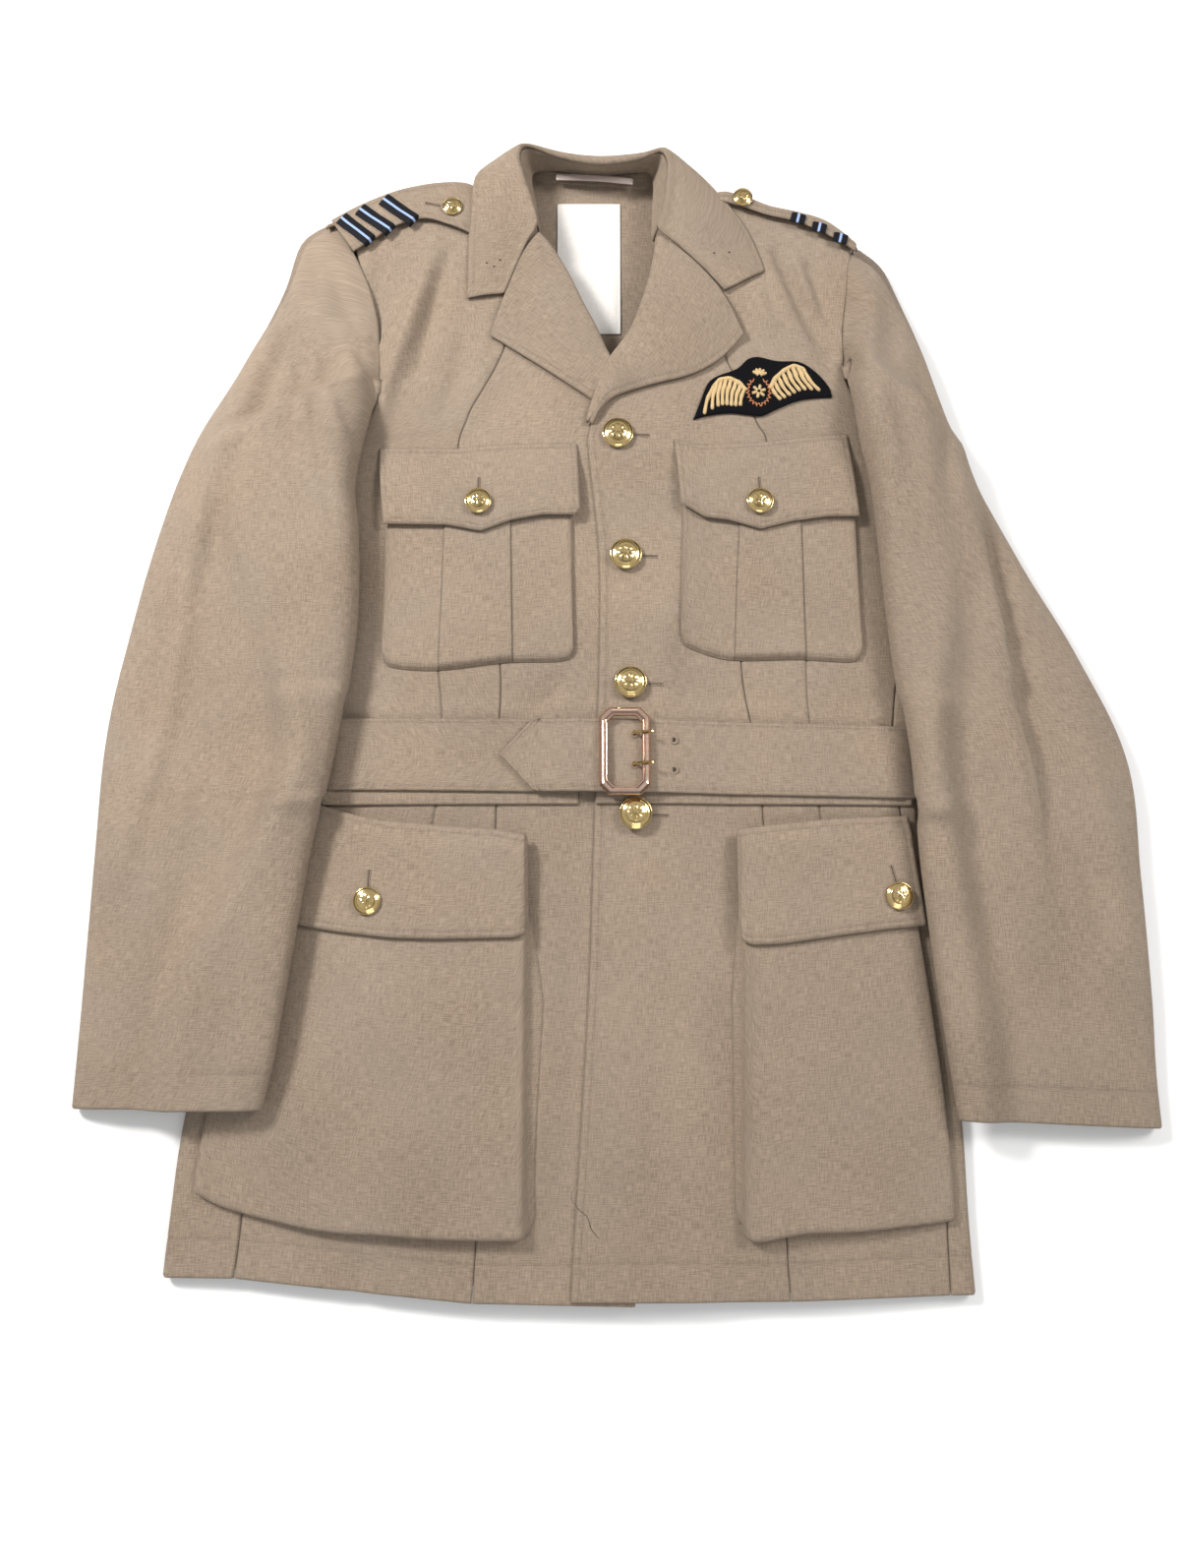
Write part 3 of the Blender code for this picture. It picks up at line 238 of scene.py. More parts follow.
YOKE_SEAM = [(-56, 486), (-34, 482.5), (-10, 480.5), (29, 476.5), (48, 476), (66, 478)]
LABEL = {
    "bottom": [(-26, 355), (24, 355)], "top": [(-26, 468), (24, 468)],
    "left": [(-26, 355), (-26, 468)], "right": [(24, 355), (24, 468)],
}

PLEAT_STEP = 1.3        # the box pleat over its pocket
CHEST_PUFF = 1.2        # the chest pockets stand off the fronts by this
BAND = (-18.5, 34.0)    # lower and upper edge of the waist bands under the belt, as y
BAND_RIGHT = (-191.0, -8.0)    # their ends, as x
BAND_LEFT = (4.0, 229.0)
BELT_TIP = (-64.0, 24.0)        # x of the pointed end and how far its point reaches out
BELT_FIXED_END = 4.0            # x of the end that holds the buckle
BRAIDS_RIGHT = [((-191, 435), (-167, 413)), ((-177, 442), (-152, 422)), ((-159, 450), (-134, 430))]
BRAIDS_LEFT = [((160, 437), (158, 429)), ((176, 429.5), (174, 421.5)), ((192, 421), (190, 413))]
BRAID_WIDTH = 11.2
BRAID_WALL = 1.2
BADGE_WALL = 1.4
LABEL_WALL = 0.8
LOOP_WALL = 1.0
FRONT_BUTTONS = [(20.5, 256), (26, 163.5), (29, 69), (32, -25.5)]


# ---------------------------------------------------------------- arithmetic
def ease(low, high, value):
    """0 below low, 1 above high, smooth between."""
    t = np.clip((value - low) / (high - low), 0.0, 1.0)
    return t * t * (3 - 2 * t)


def row_at(rows, share):
    at = np.clip(np.asarray(share, float), 0.0, 1.0) * (len(rows) - 1)
    k = np.minimum(at.astype(int), len(rows) - 2)
    return k, (at - k)[..., None]


def straight(rows, share):
    """The row at a share from 0 to 1 along a table, on straight lines between its rows."""
    rows = np.asarray(rows, float)
    k, t = row_at(rows, share)
    return rows[k] + (rows[k + 1] - rows[k]) * t


def curved(rows, share):
    """The row at a share from 0 to 1 along a table, on a smooth curve through its rows."""
    rows = np.asarray(rows, float)
    k, t = row_at(rows, share)
    a, b, c, d = (rows[np.clip(k + step, 0, len(rows) - 1)] for step in (-1, 0, 1, 2))
    return b + 0.5 * t * (c - a + t * (2 * a - 5 * b + 4 * c - d + t * (3 * (b - c) + d - a)))


def smooth_table(rows):
    """The same table with many more rows on a smooth curve, to be read by np.interp."""
    return curved(rows, np.linspace(0, 1, 24 * len(rows)))


def patch(bottom, top, left, right, u, v):
    """A point of the Coons patch between four edges, each a function of a share."""
    p, q = u[..., None], v[..., None]
    corners = (
        (1 - p) * (1 - q) * bottom(0) + p * (1 - q) * bottom(1) + (1 - p) * q * top(0) + p * q * top(1)
    )
    return (1 - q) * bottom(u) + q * top(u) + (1 - p) * left(v) + p * right(v) - corners


def run_of(points):
    """How far each point of a line lies along it."""
    return np.concatenate(([0], np.cumsum(np.linalg.norm(np.diff(points, axis=0), axis=1))))


def sampled(at, run, rows):
    """A table's rows at distances along a line, its own rows lying at `run`."""
    return np.stack([np.interp(at, run, column) for column in np.asarray(rows).T], axis=-1)


def paced(rows, turn):
    """An edge as a function of the share of its length, not of its rows."""
    fine = turn(rows, np.linspace(0, 1, 40 * len(rows)))
    run = run_of(fine)
    return lambda share: sampled(share, run / run[-1], fine)


def within(edges, u, v, turn=straight):
    """The points x, y of a patch given by its four edges."""
    return patch(*(paced(edges[side], turn) for side in ("bottom", "top", "left", "right")), u, v)


def swept(paths, shares):
    """Points at shares along each of several paths, on smooth curves through their points."""
    return np.stack([curved(path, shares) for path in paths])


def grid(us, vs):
    return np.meshgrid(us, vs)


def toward(angle):
    """The direction x, y at an angle in radians."""
    return np.array([math.cos(angle), math.sin(angle)])


def stacked(x, y, z):
    return np.stack(np.broadcast_arrays(x, y, z), axis=-1)


BODY_ROWS = smooth_table(BODY)
TOP_ROWS = smooth_table(TOP_EDGE)
SCYE_ROWS = smooth_table(SCYE)


def read_at(rows, at):
    """The other columns of a table where its first one is `at`."""
    return [np.interp(at, rows[:, 0], column) for column in rows.T[1:]]


def body_at(y):
    """Left fold, right fold, crown height and side thickness of the body at y."""
    return read_at(BODY_ROWS, y)


def top_edge_at(x):
    """Outermost y, roll radius and roll angle of the top edge at x."""
    return read_at(TOP_ROWS, x)


def belt_middle(x):
    return BELT_Y + BELT_SLOPE * x


def in_belt(x, y, margin=6.0):
    """1 along the belt, 0 away from it."""
    return 1 - ease(BELT_WIDTH / 2 + margin, BELT_WIDTH / 2 + margin + 14, abs(y - belt_middle(x)))


def floor_lift(x, y):
    """The belt's back run holds the back this far off the floor."""
    return (BELT_WALL + LAY) * in_belt(x, y)


def shoulder_seam(x):
    """Where the fronts meet the back's roll along the shoulders."""
    edge, radius, angle = top_edge_at(np.where(x < 0, np.minimum(x, -80), np.maximum(x, 84)))
    return edge - radius * (1 - np.sin(np.radians(angle))) - SHOULDER_GAP


def front_height(x, y):
    """The upper face of the fronts over the floor."""
    left, right, crown, side = body_at(y)
    middle, half = (left + right) / 2, (right - left - side) / 2
    share = np.minimum(np.abs(x - middle) / half, 1.0)
    height = side + (crown - side) * (1 - share**2.6)
    edge = top_edge_at(x)[0] - y
    height = height - 6 * np.maximum(0.0, 1 - edge / 45) ** 2
    return height + floor_lift(x, y) * 0.5


def overlap_height(x, y):
    """The left front rides over the right front along the front edge."""
    return front_height(x, y) + (CLOTH + LAY) * (1 - ease(58, 105, x))


def shell_top(x, y):
    """The top of the body with the roll of its shoulders, and 0 beyond it."""
    edge, radius, angle = top_edge_at(x)
    flat = np.where(x > 20, overlap_height(x, y), front_height(x, y))
    turned = math.pi - np.arcsin(np.clip((y - edge + radius) / radius, -1, 1))
    rolled = radius * (1 - np.cos(np.minimum(turned, np.radians(angle))))
    return np.where(y <= edge - radius, flat, np.where(y >= edge, 0.0, rolled))


def pocket_lift(x, y):
    """How far the bellows pockets stand off the fronts, also under the sleeves."""
    along = ease(-322, -312, y) * (1 - ease(-30, -12, y))
    right = (1 - ease(-46, -40, x)) * (3.0 + 5.0 * ease(-240, -110, x))
    left = ease(98, 104, x) * (3.0 + 5.0 * (1 - ease(150, 235, x)))
    return along * (right + left)


def bed_height(x, y):
    """What a sleeve lies on: pockets and belt over the body, the floor beside it."""
    left, right = body_at(y)[0:2]
    left, right = np.where(y > SCYE[0, 0], read_at(SCYE_ROWS, y), (left, right))
    outside = np.maximum(np.maximum(left - x, x - right), 0.0)
    held = np.minimum(np.maximum(x, left), right)
    inside = front_height(held, y) + (BELT_WALL + CLOTH + 2 * LAY) * in_belt(x, y, 10)
    lift = pocket_lift(x, y)
    inside = inside + lift + (FLAP_STEP + CLOTH) * ease(0, 0.5, lift)
    return 0.4 + (inside + LAY + 0.5) * (1 - ease(2, 38, outside))


# ---------------------------------------------------------------- cloth
EDGE_ROWS = (0.0, 0.45, 1.0, 1.8, 3.0)
STITCHES = []           # runs of topstitching: points and outward directions
PIECES = {}             # what each cloth piece was made as, by its node


def run_along(points, axis):
    """How far each point of a grid lies along it from its first edge."""
    steps = np.linalg.norm(np.diff(points, axis=axis), axis=2)
    pad = [(0, 0), (0, 0)]
    pad[axis] = (1, 0)
    return np.pad(np.cumsum(steps, axis=axis), pad)


def cut_shares(place, across, step, insets, marks, closed, probe):
    """Shares that put lines every `step` as measured at `probe`, closer ones at the two edges, at stitching
    and at marks."""
    fine = np.linspace(0, 1, 321)
    middle = np.array([probe])
    run = run_of(place(fine, middle)[0] if across else place(middle, fine)[:, 0])
    length = run[-1]
    if closed:
        return np.linspace(0, 1, int(round(length / step)) + 1)
    close = []
    for inset, sign in ((insets[0], 1), (insets[1], -1)):
        rows = list(EDGE_ROWS) + ([inset - 0.9, inset, inset + 0.9] if inset else [])
        close += [row if sign > 0 else length - row for row in rows]
    for mark in marks:
        at = np.interp(mark, fine, run)
        close += [at + off for off in (-2.2, -1.1, -0.5, 0.0, 0.5, 1.1, 2.2)]
    close = np.array(close)
    even = np.linspace(0, length, int(round(length / step)) + 1)
    even = [at for at in even if np.abs(close - at).min() > 0.45 * step]
    wanted = np.unique(np.concatenate((close, even)))
    wanted = wanted[(wanted >= 0) & (wanted <= length)]
    keep = np.concatenate(([True], np.diff(wanted) > 0.2))
    return np.interp(wanted[keep], run, fine)


def crease(x, y, height, left, right, route):
    """A soft ridge, or a trough below 0, that dies out at both ends of its route; `left` and `right` are
    its widths on the two sides of the way it runs."""
    line = curved(route, np.linspace(0, 1, 10 * len(route)))
    reach = 3 * max(left, right)
    low, high = line.min(axis=0) - reach, line.max(axis=0) + reach
    near = (x > low[0]) & (x < high[0]) & (y > low[1]) & (y < high[1])
    lift = np.zeros_like(x)
    if not near.any():
        return lift
    at = np.stack((x[near], y[near]), axis=1)
    start, run = line[:-1], np.diff(line, axis=0)
    share = np.clip(((at[:, None] - start) * run).sum(2) / (run**2).sum(1), 0, 1)
    gap = at[:, None] - (start + run * share[..., None])
    far = np.linalg.norm(gap, axis=2)
    best = far.argmin(axis=1)
    rows = np.arange(len(at))
    side = run[best, 0] * gap[rows, best, 1] - run[best, 1] * gap[rows, best, 0]
    width = np.where(side > 0, left, right)
    along = (best + share[rows, best]) / len(run)
    fade = np.sin(math.pi * np.clip(along, 0.0, 1.0)) ** 0.7
    lift[near] = height * np.exp(-(far[rows, best] / width) ** 2) * fade
    return lift


def unevenness(x, y):
    """The slow rise and fall that any laid cloth has, between about -1 and 1."""
    waves = ((0.043, 0.017, 0.4), (-0.021, 0.052, 1.9), (0.071, -0.034, 3.1), (0.012, 0.093, 5.2),
             (0.104, 0.061, 0.9))
    total = sum(np.sin(a * x + b * y + c) / (1 + k * 0.35) for k, (a, b, c) in enumerate(waves))
    return total / 2.6


def normals_of(points, closed):
    """The outward direction at each point of a grid."""
    if closed:
        round_about = np.concatenate((points[:, -2:-1], points, points[:, 1:2]), axis=1)
        over = np.gradient(round_about, axis=1)[:, 1:-1]
    else:
        over = np.gradient(points, axis=1)
    up = np.gradient(points, axis=0)
    out = np.cross(over, up)
    return out / np.maximum(np.linalg.norm(out, axis=2, keepdims=True), 1e-9)


class Cloth:
    """One piece of cloth: its grid of points, where each lies on its own cut, and its object."""

    def __init__(self, place, step, insets=(0, 0, 0, 0), marks=((), ()), closed=False, creases=(),
                 uneven=0.35, drop=0.8, soft=0.8, probe=0.5, datum=(0, 0), marked=np.ones_like):
        us = cut_shares(place, True, step, insets[0:2], marks[0], closed, 0.5)
        vs = cut_shares(place, False, step, insets[2:4], marks[1], False, probe)
        points = place(us, vs)
        if closed:
            points[:, -1] = points[:, 0]
        self.closed, self.us, self.vs = closed, us, vs
        self.over, self.up = run_along(points, 1), run_along(points, 0)
        column, row = (int(round(share * (len(shares) - 1))) for share, shares in zip(datum, (us, vs)))
        self.cut = self.over - self.over[:, column:column + 1], self.up - self.up[row:row + 1]
        out = normals_of(points, closed)
        x, y = points[..., 0], points[..., 1]
        lift = sum((crease(x, y, *row) for row in creases), np.zeros_like(x))
        lift = lift + uneven * unevenness(x, y)
        lift = lift * np.clip(out[..., 2], 0, 1)
        # painted shade: a darker line painted into the colour along the edges and the stitch lines, standing
        # in for the shade that gathers there
        self.painted_shade = np.zeros_like(x)
        for number, away in enumerate(self.edges_away()):
            if closed and number < 2:
                continue
            lift = lift - drop * np.exp(-(away / soft) ** 2)
            self.painted_shade = np.maximum(self.painted_shade, np.exp(-(away / 0.8) ** 2))
            if insets[number]:
                row = np.exp(-((away - insets[number]) / 0.8) ** 2)
                lift = lift - 0.28 * row
                self.painted_shade = np.maximum(self.painted_shade, 0.6 * row)
        # painted shade along the pleat and dart folds
        for axis, run, shares, wanted in ((1, self.over, us, marks[0]), (0, self.up, vs, marks[1])):
            for mark in wanted:
                at = np.interp(mark, shares, np.arange(len(shares)))
                k = int(round(float(at)))
                away = run - (run[:, k:k + 1] if axis else run[k:k + 1])
                groove_shade = np.exp(-(away / 0.7) ** 2)
                self.painted_shade = np.maximum(self.painted_shade, 2.4 * groove_shade * marked(y))
        self.points = points + out * lift[..., None]
        self.out = normals_of(self.points, closed)

    def edges_away(self):
        """Distances of every point from the edges at u = 0, u = 1, v = 0 and v = 1."""
        return (self.over, self.over[:, -1:] - self.over, self.up, self.up[-1:] - self.up)

    def line(self, edge, inset, low=0.0, high=1.0, ends=0.0):
        """Points and outward directions along a line `inset` from one edge, between two shares of it."""
        away = self.edges_away()[edge]
        along_rows = edge < 2
        points, out = [], []
        count = away.shape[0] if along_rows else away.shape[1]
        shares = self.vs if along_rows else self.us
        for k in range(count):
            if not low <= shares[k] <= high:
                continue
            reach = away[k] if along_rows else away[:, k]
            at = k if along_rows else np.s_[:, k]
            column, facing = self.points[at], self.out[at]
            if reach[-1] < reach[0]:
                reach, column, facing = reach[::-1], column[::-1], facing[::-1]
            points.append(sampled(inset, reach, column))
            out.append(sampled(inset, reach, facing))
        points, out = np.array(points), np.array(out)
        run = run_of(points)
        keep = (run >= ends) & (run <= run[-1] - ends)
        return points[keep], out[keep]

    def top(self, x, y):
        """The point of the upper face at x, y, and its outward direction."""
        flat = self.points.reshape(-1, 3)
        facing = self.out.reshape(-1, 3)
        away = (flat[:, 0] - x) ** 2 + (flat[:, 1] - y) ** 2 + np.where(facing[:, 2] < 0.2, 1e6, 0)
        near = np.argsort(away)[:4]
        weight = 1 / (away[near] + 1e-3)
        weight = (weight / weight.sum())[:, None]
        height = (flat[near] * weight).sum(axis=0)[2]
        return np.array([x, y, height]), (facing[near] * weight).sum(axis=0)


def add_mesh(name, verts, faces, finish, slot):
    """A named mesh that belongs to the jacket, from points in millimetres."""
    mesh = bpy.data.meshes.new(name)
    mesh.from_pydata(((np.asarray(verts) - CENTRE) * TO_METRES).tolist(), [], faces)
    mesh.materials.append(finish)
    mesh.shade_smooth()
    made = bpy.data.objects.new(name, mesh)
    bpy.context.scene.collection.objects.link(made)
    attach(made, "root")
    return made


def build_cloth(node, piece, finish, slot, wall, rests_on):
    """The mesh of a cloth piece with its wall and its cut as UVs; it stands for its CAD node."""
    points = piece.points[:, :-1] if piece.closed else piece.points
    rows, columns = points.shape[0:2]
    numbers = np.arange(rows * columns).reshape(rows, columns)
    if piece.closed:
        numbers = np.concatenate((numbers, numbers[:, 0:1]), axis=1)
    a, b = numbers[:-1, :-1], numbers[:-1, 1:]
    c, d = numbers[1:, 1:], numbers[1:, :-1]
    faces = np.stack((a, b, c, d), axis=-1).reshape(-1, 4)
    made = add_mesh(node + "_cloth", points.reshape(-1, 3), faces.tolist(), finish, slot)
    mesh = made.data
    wide, high = (run * TO_METRES for run in piece.cut)
    near, far = slice(None, -1), slice(1, None)
    corners = [np.stack((wide[at], high[at]), axis=-1)
               for at in ((near, near), (near, far), (far, far), (far, near))]
    cut = mesh.uv_layers.new(name="cut")
    cut.data.foreach_set("uv", np.stack(corners, axis=2).astype(np.float32).ravel())
    # the painted shade along edges, stitching and folds goes to the finish as a point attribute
    painted_shade = mesh.attributes.new("painted_shade", "FLOAT", "POINT")
    values = piece.painted_shade[:, :-1] if piece.closed else piece.painted_shade
    painted_shade.data.foreach_set("value", values.astype(np.float32).ravel())
    solid = made.modifiers.new("wall", "SOLIDIFY")
    solid.thickness = wall * TO_METRES
    solid.offset = -1
    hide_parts(node)
    PIECES[node] = piece


def sew(node, place, step, stitches=(), finish=(), wall=CLOTH, rests_on="front_right", **cut):
    """Make one piece of cloth and topstitch it. A row of stitches is an edge, how far in from it they run and
    what else Cloth.line takes; finish is a finish and its slot, the outer cloth if not given. The slot is not
    used."""
    piece = Cloth(place, step, **cut)
    build_cloth(node, piece, *(finish or (STONE, "stone_cloth")), wall, rests_on)
    STITCHES.extend(piece.line(*row) for row in stitches)


# ---------------------------------------------------------------- finishes
def add_node(tree, kind, inputs=None, **settings):
    """A shader node with its settings; each input is a value or the socket that feeds it."""
    made = tree.nodes.new(kind)
    for key, value in settings.items():
        setattr(made, key, value)
    for key, value in (inputs or {}).items():
        if isinstance(value, bpy.types.NodeSocket):
            tree.links.new(value, made.inputs[key])
        else:
            made.inputs[key].default_value = value
    return made


def effect(name, inputs, outputs):
    """An empty node group for an effect that several finishes share."""
    tree = bpy.data.node_groups.new(name, "ShaderNodeTree")
    for label, kind, value in inputs:
        tree.interface.new_socket(label, in_out="INPUT", socket_type=kind).default_value = value
    for label, kind in outputs:
        tree.interface.new_socket(label, in_out="OUTPUT", socket_type=kind)
    return tree, add_node(tree, "NodeGroupInput").outputs, add_node(tree, "NodeGroupOutput").inputs


def place_effect(tree, group, inputs):
    return add_node(tree, "ShaderNodeGroup", inputs, node_tree=group).outputs


def calculated(tree, operation, *values):
    return add_node(tree, "ShaderNodeMath", dict(enumerate(values)), operation=operation).outputs[0]


def spread(tree, value, low, high, first=0.0, last=1.0):
    """A value from low to high, stretched to run from first to last."""
    return add_node(tree, "ShaderNodeMapRange", {
        "Value": value, "From Min": low, "From Max": high, "To Min": first, "To Max": last}).outputs["Result"]


def own_place(tree):
    return add_node(tree, "ShaderNodeTexCoord").outputs["Object"]


def noise(tree, place, scale, detail):
    return add_node(tree, "ShaderNodeTexNoise", {
        "Vector": place, "Scale": scale, "Detail": detail}).outputs["Fac"]


def moved(tree, place, **settings):
    return add_node(tree, "ShaderNodeMapping", {"Vector": place, **settings}).outputs["Vector"]


def twill_effect():
    """Diagonal ribs of fine yarn: a height and a mask of lighter and darker yarns."""
    tree, given, put = effect(
        "twill", [("Ribs", "NodeSocketFloat", 700.0), ("Yarn", "NodeSocketFloat", 900.0)],
        [("Height", "NodeSocketFloat"), ("Yarns", "NodeSocketFloat")])
    cut = add_node(tree, "ShaderNodeUVMap", uv_map="cut").outputs["UV"]
    ribs = add_node(tree, "ShaderNodeTexWave", {
        "Vector": moved(tree, cut, Rotation=(0, 0, math.radians(-27))), "Scale": given["Ribs"],
        "Distortion": 1.2, "Detail": 1.0, "Detail Scale": 2.0}, wave_type="BANDS", bands_direction="X")
    yarns = [noise(tree, moved(tree, cut, Scale=stretch), given["Yarn"], 2.0)
             for stretch in ((1.0, 0.09, 1.0), (0.09, 1.0, 1.0))]
    crossed = spread(tree, calculated(tree, "ADD", *yarns), 0.75, 1.25)
    tree.links.new(crossed, put["Yarns"])
    tree.links.new(calculated(tree, "ADD", ribs.outputs["Fac"], crossed), put["Height"])
    return tree


def mottle_effect():
    """Slow patches where the cloth took the dye and the years a little differently."""
    tree, given, put = effect(
        "mottle", [("Size", "NodeSocketFloat", 12.0)],
        [("Patches", "NodeSocketFloat"), ("Tint", "NodeSocketFloat")])
    place = own_place(tree)
    for label, at in (("Patches", (0, 0, 0)), ("Tint", (3.7, 1.9, 0.4))):
        slow = noise(tree, moved(tree, place, Location=at), given["Size"], 1.5)
        tree.links.new(spread(tree, slow, 0.3, 0.7), put[label])
    return tree


def linear(red, green, blue):
    """A screen colour of 0 to 255 as the linear colour that a shader takes."""
    return (*(((part / 255 + 0.055) / 1.055) ** 2.4 for part in (red, green, blue)), 1.0)


def blend_colours(tree, share, first, second):
    return add_node(tree, "ShaderNodeMix", {0: share, 6: first, 7: second}, data_type="RGBA").outputs[2]


def new_finish(name, roughness, metallic=0.0, **sockets):
    made = bpy.data.materials.new(name)
    made.use_nodes = True
    shader = made.node_tree.nodes["Principled BSDF"]
    shader.inputs["Roughness"].default_value = roughness
    shader.inputs["Metallic"].default_value = metallic
    for label, value in sockets.items():
        shader.inputs[label.replace("_", " ")].default_value = value
    return made, made.node_tree, shader


def surfaced(tree, shader, colour, height, depth):
    """Give a finish its colour and its relief."""
    tree.links.new(colour, shader.inputs["Base Color"])
    bump = add_node(tree, "ShaderNodeBump", {"Height": height, "Distance": depth, "Strength": 1.0})
    tree.links.new(bump.outputs["Normal"], shader.inputs["Normal"])


def woven_finish(name, dark, light, cool, ribs=900.0, roughness=0.88, shade_strength=0.24, sheen=0.06):
    """Worsted twill: two tones of yarn, slow patches, and a darker line of painted shade along edges,
    stitching and folds.
    """
    made, tree, shader = new_finish(name, roughness, Sheen_Weight=sheen, Sheen_Roughness=0.45)
    weave = place_effect(tree, twill_effect(), {"Ribs": ribs, "Yarn": ribs * 1.6})
    slow = place_effect(tree, mottle_effect(), {"Size": 14.0})
    share = calculated(tree, "MULTIPLY", weave["Yarns"], 0.8)
    share = calculated(tree, "MULTIPLY_ADD", slow["Patches"], 0.2, share)
    cloth = blend_colours(tree, share, linear(*dark), linear(*light))
    cloth = blend_colours(tree, calculated(tree, "MULTIPLY", slow["Tint"], 0.22), cloth, linear(*cool))
    # painted shade: darkens the cloth along its edges, stitching and folds
    edge = add_node(tree, "ShaderNodeAttribute", attribute_name="painted_shade").outputs["Fac"]
    line = calculated(tree, "MULTIPLY", edge, shade_strength)
    shade = blend_colours(tree, line, cloth, linear(*(part * 0.55 for part in dark)))
    surfaced(tree, shader, shade, weave["Height"], 0.00006)
    return made


def metal_finish(name, bright, dull, roughness):
    made, tree, shader = new_finish(name, roughness, 1.0)
    grain = noise(tree, own_place(tree), 420.0, 3.0)
    rough = spread(tree, grain, 0.3, 0.7, roughness * 0.7, roughness * 1.5)
    tree.links.new(rough, shader.inputs["Roughness"])
    surfaced(tree, shader, blend_colours(tree, grain, linear(*bright), linear(*dull)), grain, 0.00003)
    return made


def cord_finish(name, dark, light, twist):
    """Twisted yarn or purl: fine turns of light and dark along a cord."""
    made, tree, shader = new_finish(name, 0.6, Sheen_Weight=0.2)
    sockets = {"Vector": own_place(tree), "Scale": twist, "Distortion": 2.0}
    turns = add_node(tree, "ShaderNodeTexWave", sockets, bands_direction="DIAGONAL").outputs["Fac"]
    surfaced(tree, shader, blend_colours(tree, turns, linear(*dark), linear(*light)), turns, 0.0001)
    return made


def braid_finish(name):
    """Black ribbed braid with a pale-blue line along its middle; its cut runs across the bar in u."""
    made, tree, shader = new_finish(name, 0.7, Specular_IOR_Level=0.2)
    cut = add_node(tree, "ShaderNodeUVMap", uv_map="cut").outputs["UV"]
    across = add_node(tree, "ShaderNodeSeparateXYZ", {"Vector": cut}).outputs["X"]
    off = calculated(tree, "SUBTRACT", across, BRAID_WIDTH / 2 * TO_METRES)
    stripe = spread(tree, calculated(tree, "ABSOLUTE", off), 0.0008, 0.00105, 1.0, 0.0)
    sockets = {"Vector": cut, "Scale": 330.0}
    ribs = add_node(tree, "ShaderNodeTexWave", sockets, bands_direction="Y").outputs["Fac"]
    black = blend_colours(tree, ribs, linear(6, 6, 10), linear(24, 25, 33))
    blue = blend_colours(tree, ribs, linear(132, 156, 205), linear(176, 196, 232))
    surfaced(tree, shader, blend_colours(tree, stripe, black, blue), ribs, 0.00012)
    return made


def plain_finish(name, colour, other, scale, roughness, depth=0.00005, **sockets):
    """A quiet surface of two near tones, for felt, tape, satin and the like."""
    made, tree, shader = new_finish(name, roughness, **sockets)
    grain = noise(tree, own_place(tree), scale, 3.0)
    surfaced(tree, shader, blend_colours(tree, grain, linear(*colour), linear(*other)), grain, depth)
    return made


STONE = woven_finish("stone_gabardine", (124, 107, 90), (168, 149, 129), (142, 133, 122))
THREAD = cord_finish("sewing_thread", (128, 108, 90), (160, 141, 121), 900.0)
GILT = metal_finish("gilt_brass", (240, 216, 158), (206, 172, 108), 0.12)
ROSE = metal_finish("rose_gilt", (236, 208, 190), (214, 176, 154), 0.12)
BRAID = braid_finish("rank_braid")
FELT = plain_finish("black_felt", (3, 3, 6), (15, 15, 20), 900.0, 0.95, 0.0002, Specular_IOR_Level=0.15)
CREAM = cord_finish("cream_cord", (172, 136, 84), (232, 206, 154), 700.0)
BROWN = cord_finish("brown_cord", (150, 84, 46), (206, 132, 84), 700.0)
TAPE = plain_finish("white_tape", (216, 212, 206), (236, 233, 228), 500.0, 0.8)
SATIN = plain_finish("grey_satin", (170, 152, 146), (206, 190, 184), 60.0, 0.32, 0.0001, Sheen_Weight=0.3)
# dark brown: painted shade for holes and slits, and the own colour of the dark loose thread
DARK = plain_finish("hole_shade_and_dark_thread", (52, 42, 34), (70, 58, 48), 300.0, 0.95)


# ---------------------------------------------------------------- creases, millimetres
# Each row: height (below 0 a trough), widths left and right of the way it runs, and the route as x, y.
BODY_CREASES = [
    (7.2, 7, 12, [(-114, 412), (-131, 360), (-150, 300), (-158, 262)]),
    (-5.2, 6, 7, [(-104, 418), (-115, 379), (-124, 335), (-131, 300)]),
    (-4.2, 5, 8, [(-156, 405), (-160, 370), (-159, 330)]),
    (-2.9, 10, 8, [(-92, 352), (-98, 310), (-112, 268)]),
    (2.5, 9, 9, [(-76, 330), (-84, 295), (-96, 262)]),
    (-6.6, 5, 8, [(140, 414), (150, 391), (160, 367), (171, 343), (182, 318)]),
    (-5.2, 5, 6, [(164, 402), (172, 376), (179.5, 355), (187, 338)]),
    (4.2, 5, 6, [(156, 404), (164, 378), (174, 354)]),
    (4.0, 6, 8, [(132, 412), (142, 384), (153, 352), (170, 312)]),
    (3.2, 6, 6, [(124, 384), (130, 362), (138, 336)]),
    (-2.9, 9, 9, [(112, 360), (120, 340), (134, 322)]),
    (-2.5, 9, 12, [(-184, 60), (-168, 20), (-172, -20)]),
    (2.5, 9, 9, [(18, 140), (44, 108), (52, 66)]),
    (-2.7, 8, 10, [(-20, 78), (-30, 60), (-52, 48)]),
    (2.2, 14, 14, [(-30, -60), (-26, -140), (-30, -230), (-34, -320)]),
    (-2.6, 10, 16, [(-20, -120), (-16, -200), (-20, -290), (-26, -345)]),
    (-2.2, 12, 12, [(48, -70), (54, -160), (46, -250), (52, -330)]),
    (2.2, 14, 12, [(76, -120), (80, -200), (76, -280), (84, -345)]),
    (-1.9, 8, 8, [(-150, -320), (-156, -336), (-160, -350)]),
    (2.1, 9, 9, [(62, 150), (56, 110), (60, 50)]),
]
